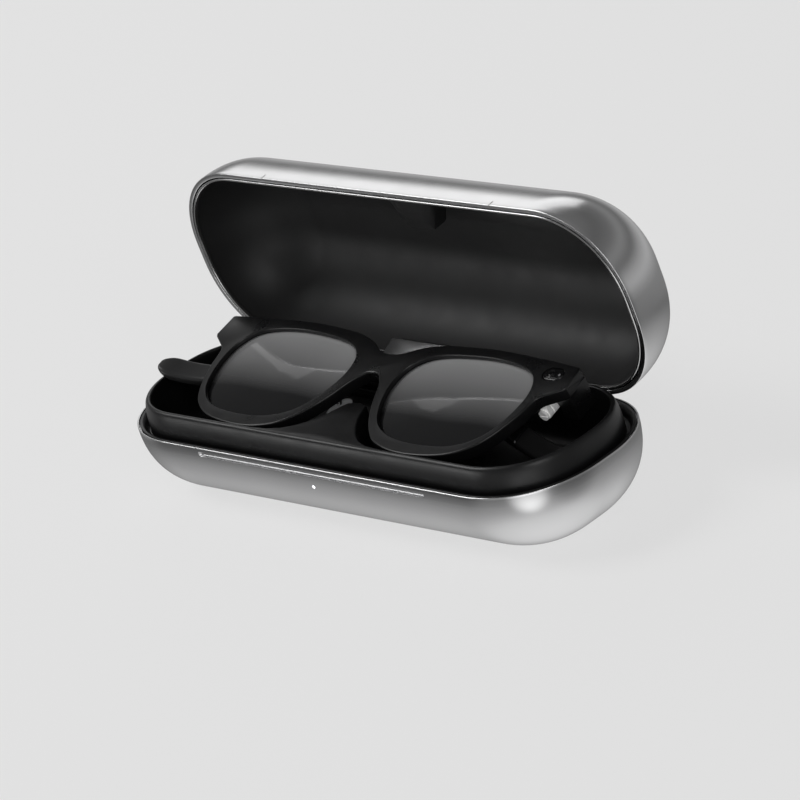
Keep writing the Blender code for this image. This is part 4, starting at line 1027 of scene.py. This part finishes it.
def band(side, stations, depth_low, depth_high, margin):
    """A slab following a temple's inner face, between two depths below it."""
    rings = []
    for along in stations:
        inner, _, centre, half = temple_section(along)
        y0 = centre - half + margin
        y1 = centre + half - margin
        x0 = side * (inner + depth_low)
        x1 = side * (inner + depth_high)
        rings.append([Vector((x, y, -along)) for x, y in corners(x0, y0, x1, y1)])
    return skin(rings)


def build_temple(name, side):
    body = name + "_temple"
    place = temple_matrix(name, side)
    stations = [TEMPLE_BUTT, TEMPLE_BUTT + 0.25 * MM]
    stations += spread(TEMPLE_BUTT + 1.5 * MM, SLEEVE_START - 0.6 * MM, 70)
    stations += [SLEEVE_START - 0.3 * MM]
    bar = put("temple_bar_" + name, temple_skin(side, stations, ends=0.25 * MM), body, FRAME,
              ("temple_" + name,), place)
    carve(bar, band(side, spread(*POCKET, 20), -1.2 * MM, 3.0 * MM, 1.2 * MM),
          place=place)
    tip = [SLEEVE_START, SLEEVE_START + 0.25 * MM] + spread(SLEEVE_START + 1 * MM, 142 * MM, 18)
    tip += [TEMPLE_LENGTH - TIP_ROUND * (1 - math.sin(k / 12 * math.pi / 2)) for k in range(13)]
    put("temple_tip_" + name, temple_skin(side, tip, ends=0.2 * MM), body, SLEEVE,
        ("temple_sleeve_" + name,), place)
    lid = put("temple_inner_cover_" + name,
              band(side, spread(*POCKET_COVER, 20), 0.0, 0.8 * MM, 1.5 * MM), body, FRAME,
              ("temple_cover_" + name,), place)
    soften(lid, 0.12 * MM)

    inner, outer, centre, half = temple_section(BUTTON_ALONG)
    label = {"left": "power_button", "right": "capture_button"}[name]
    seat = (place @ Matrix.Translation((side * (inner + outer) / 2, centre + half, -BUTTON_ALONG))
            @ Matrix.Rotation(-math.pi / 2, 4, "X") @ Matrix.Rotation(math.pi / 2, 4, "Z"))
    carve(bar, pill(3.0 * MM, 1.2 * MM, -2.2 * MM, 1 * MM), place=seat)
    put(label + "_cap", pill(2.7 * MM, 0.9 * MM, -1.4 * MM, 0.28 * MM, 0.2 * MM, 0.05 * MM),
        label, FRAME, (label,), seat)
    if side > 0:
        build_touch_strip(bar, place)


def build_touch_strip(bar, place):
    def slab(grow, inwards, outwards):
        rings = []
        for along in spread(STRIP[0] - grow, STRIP[1] + grow, 16):
            _, outer, centre, _ = temple_section(along)
            tall = STRIP_HALF + grow
            rings.append([Vector((x, y, -along)) for x, y in corners(
                outer - inwards, centre - tall, outer + outwards, centre + tall)])
        return skin(rings)

    carve(bar, slab(0.3 * MM, 0.7 * MM, 1 * MM), place=place)
    strip = put("touch_panel", slab(0.0, 0.4 * MM, 0.0), "right_temple", GLOSS, ("touch_strip",),
                place)
    soften(strip, 0.1 * MM)


# ---- small CAD pieces kept
def dress_cad():
    """Give the CAD pieces that stay in view a finish and softened edges."""
    looks = {"base_hinge": STEEL, "lid_hinge": STEEL, "lid_hinge_pin": STEEL, "base_magnet": STEEL,
             "lid_magnet": STEEL, "usb_tongue": TRAY, "case_battery": CELL, "charge_board": BOARD,
             "camera_module": TRAY, "capture_light": DARK_LAMP}
    for name, _ in SIDES:
        looks.update({"front_hinge_" + name: NICKEL_PAINTED_LIGHT, "hinge_screw_" + name: NICKEL_PAINTED_LIGHT,
                      "temple_hinge_" + name: NICKEL_PAINTED_LIGHT, "circuit_board_" + name: BOARD,
                      "temple_battery_" + name: CELL, "speaker_" + name: STEEL,
                      "pin_post_" + name: TRAY, "charge_pin_" + name: GOLD,
                      "charge_contact_" + name: GOLD})
    for node, material in looks.items():
        made = frame["nodes"][node]
        made.data.materials.clear()
        made.data.materials.append(material)
        soften(made, 0.08 * MM)


# ---- stage
def add_camera():
    back = Vector((math.sin(PHOTO_AZIMUTH) * math.cos(PHOTO_ELEVATION),
                   -math.cos(PHOTO_AZIMUTH) * math.cos(PHOTO_ELEVATION),
                   math.sin(PHOTO_ELEVATION)))
    right = Vector((math.cos(PHOTO_AZIMUTH), math.sin(PHOTO_AZIMUTH), 0))
    up = back.cross(right)
    across = right * math.cos(PHOTO_ROLL) + up * math.sin(PHOTO_ROLL)
    above = up * math.cos(PHOTO_ROLL) - right * math.sin(PHOTO_ROLL)
    data = bpy.data.cameras.new("photo_camera")
    data.lens = PHOTO_LENS
    data.sensor_width = 36.0
    data.clip_start = 0.01
    camera = add_object("photo_camera", data)
    place = Matrix((across, above, back)).transposed().to_4x4()
    place.translation = (Vector((0, 0, RIM_Z)) + back * PHOTO_DISTANCE
                         + across * PHOTO_SHIFT[0] + above * PHOTO_SHIFT[1])
    camera.matrix_world = place
    bpy.context.scene.camera = camera


def add_softbox(name, location, target, size, power):
    data = bpy.data.lights.new(name, "AREA")
    data.shape = "RECTANGLE"
    data.size, data.size_y = size
    data.energy = power
    made = add_object(name, data)
    made.location = location
    aim = Vector(target) - Vector(location)
    made.rotation_euler = aim.to_track_quat("-Z", "Y").to_euler()


def build_world():
    """A studio around the object: pale to the camera, with light and dark bands to metal."""
    world = bpy.data.worlds.new("studio")
    bpy.context.scene.world = world
    world.use_nodes = True
    tree = world.node_tree
    where = add_node(tree, "TexCoord").outputs["Generated"]
    split = add_node(tree, "SeparateXYZ")
    link(where, split.inputs["Vector"])
    height = add_node(tree, "MapRange", {"From Min": -1.0})
    link(split.outputs["Z"], height.inputs["Value"])
    bands = add_node(tree, "ValToRGB")
    ramp = bands.color_ramp
    while len(ramp.elements) < len(BANDS):
        ramp.elements.new(0.5)
    for element, (position, value) in zip(ramp.elements, BANDS):
        element.position = position
        element.color = (value, value, value, 1)
    link(height.outputs["Result"], bands.inputs["Fac"])
    mix = add_node(tree, "MixRGB", {"Color2": (PALE, PALE, PALE, 1)})
    link(add_node(tree, "LightPath").outputs["Is Camera Ray"], mix.inputs["Fac"])
    lit = bands.outputs["Color"]
    for toward, near, gain in PANELS:
        lit = add_panel(tree, where, lit, toward, near, gain)
    link(lit, mix.inputs["Color1"])
    link(mix.outputs["Color"], tree.nodes["Background"].inputs["Color"])


def add_panel(tree, where, lit, toward, near, gain):
    """A soft-edged bright or dark panel in the studio, centred on a direction."""
    aim = add_node(tree, "VectorMath", {1: Vector(toward).normalized()})
    aim.operation = "DOT_PRODUCT"
    link(where, aim.inputs[0])
    edge = add_node(tree, "MapRange", {"From Min": near, "From Max": 1.0, "To Min": 1.0,
                                       "To Max": gain})
    edge.interpolation_type = "SMOOTHSTEP"
    link(aim.outputs["Value"], edge.inputs["Value"])
    scale = add_node(tree, "VectorMath")
    scale.operation = "SCALE"
    link(lit, scale.inputs[0])
    link(edge.outputs["Result"], scale.inputs["Scale"])
    return scale.outputs["Vector"]


def build_floor():
    """A pale matt floor that mirrors do not see."""
    data = bmesh.new()
    bmesh.ops.create_circle(data, cap_ends=True, segments=96, radius=FLOOR_RADIUS)
    mesh = bpy.data.meshes.new("floor")
    data.to_mesh(mesh)
    data.free()
    floor = add_object("floor", mesh)
    floor.location = (0, 0, -0.05 * MM)
    made, tree, shader = new_material("pale_floor")
    set_inputs(shader, {"Base Color": (0.24, 0.24, 0.24, 1), "Roughness": 1.0,
                        "Specular IOR Level": 0.0, "Emission Color": (1, 1, 1, 1),
                        "Emission Strength": 0.632})
    mix = mix_surfaces(tree, shader, add_node(tree, "BsdfTransparent"))
    link(add_node(tree, "LightPath").outputs["Is Glossy Ray"], mix.inputs["Fac"])
    mesh.materials.append(made)


def build_stage():
    build_floor()
    build_world()
    add_camera()
    for softbox in SOFTBOXES:
        add_softbox(*softbox)
    bpy.context.scene.view_settings.view_transform = "Standard"


build_base_shell()
build_tray()
build_base_fittings()
build_lid()
build_front()
build_nose_pads()
for side_name, side_sign in SIDES:
    build_temple(side_name, side_sign)
dress_cad()
build_stage()
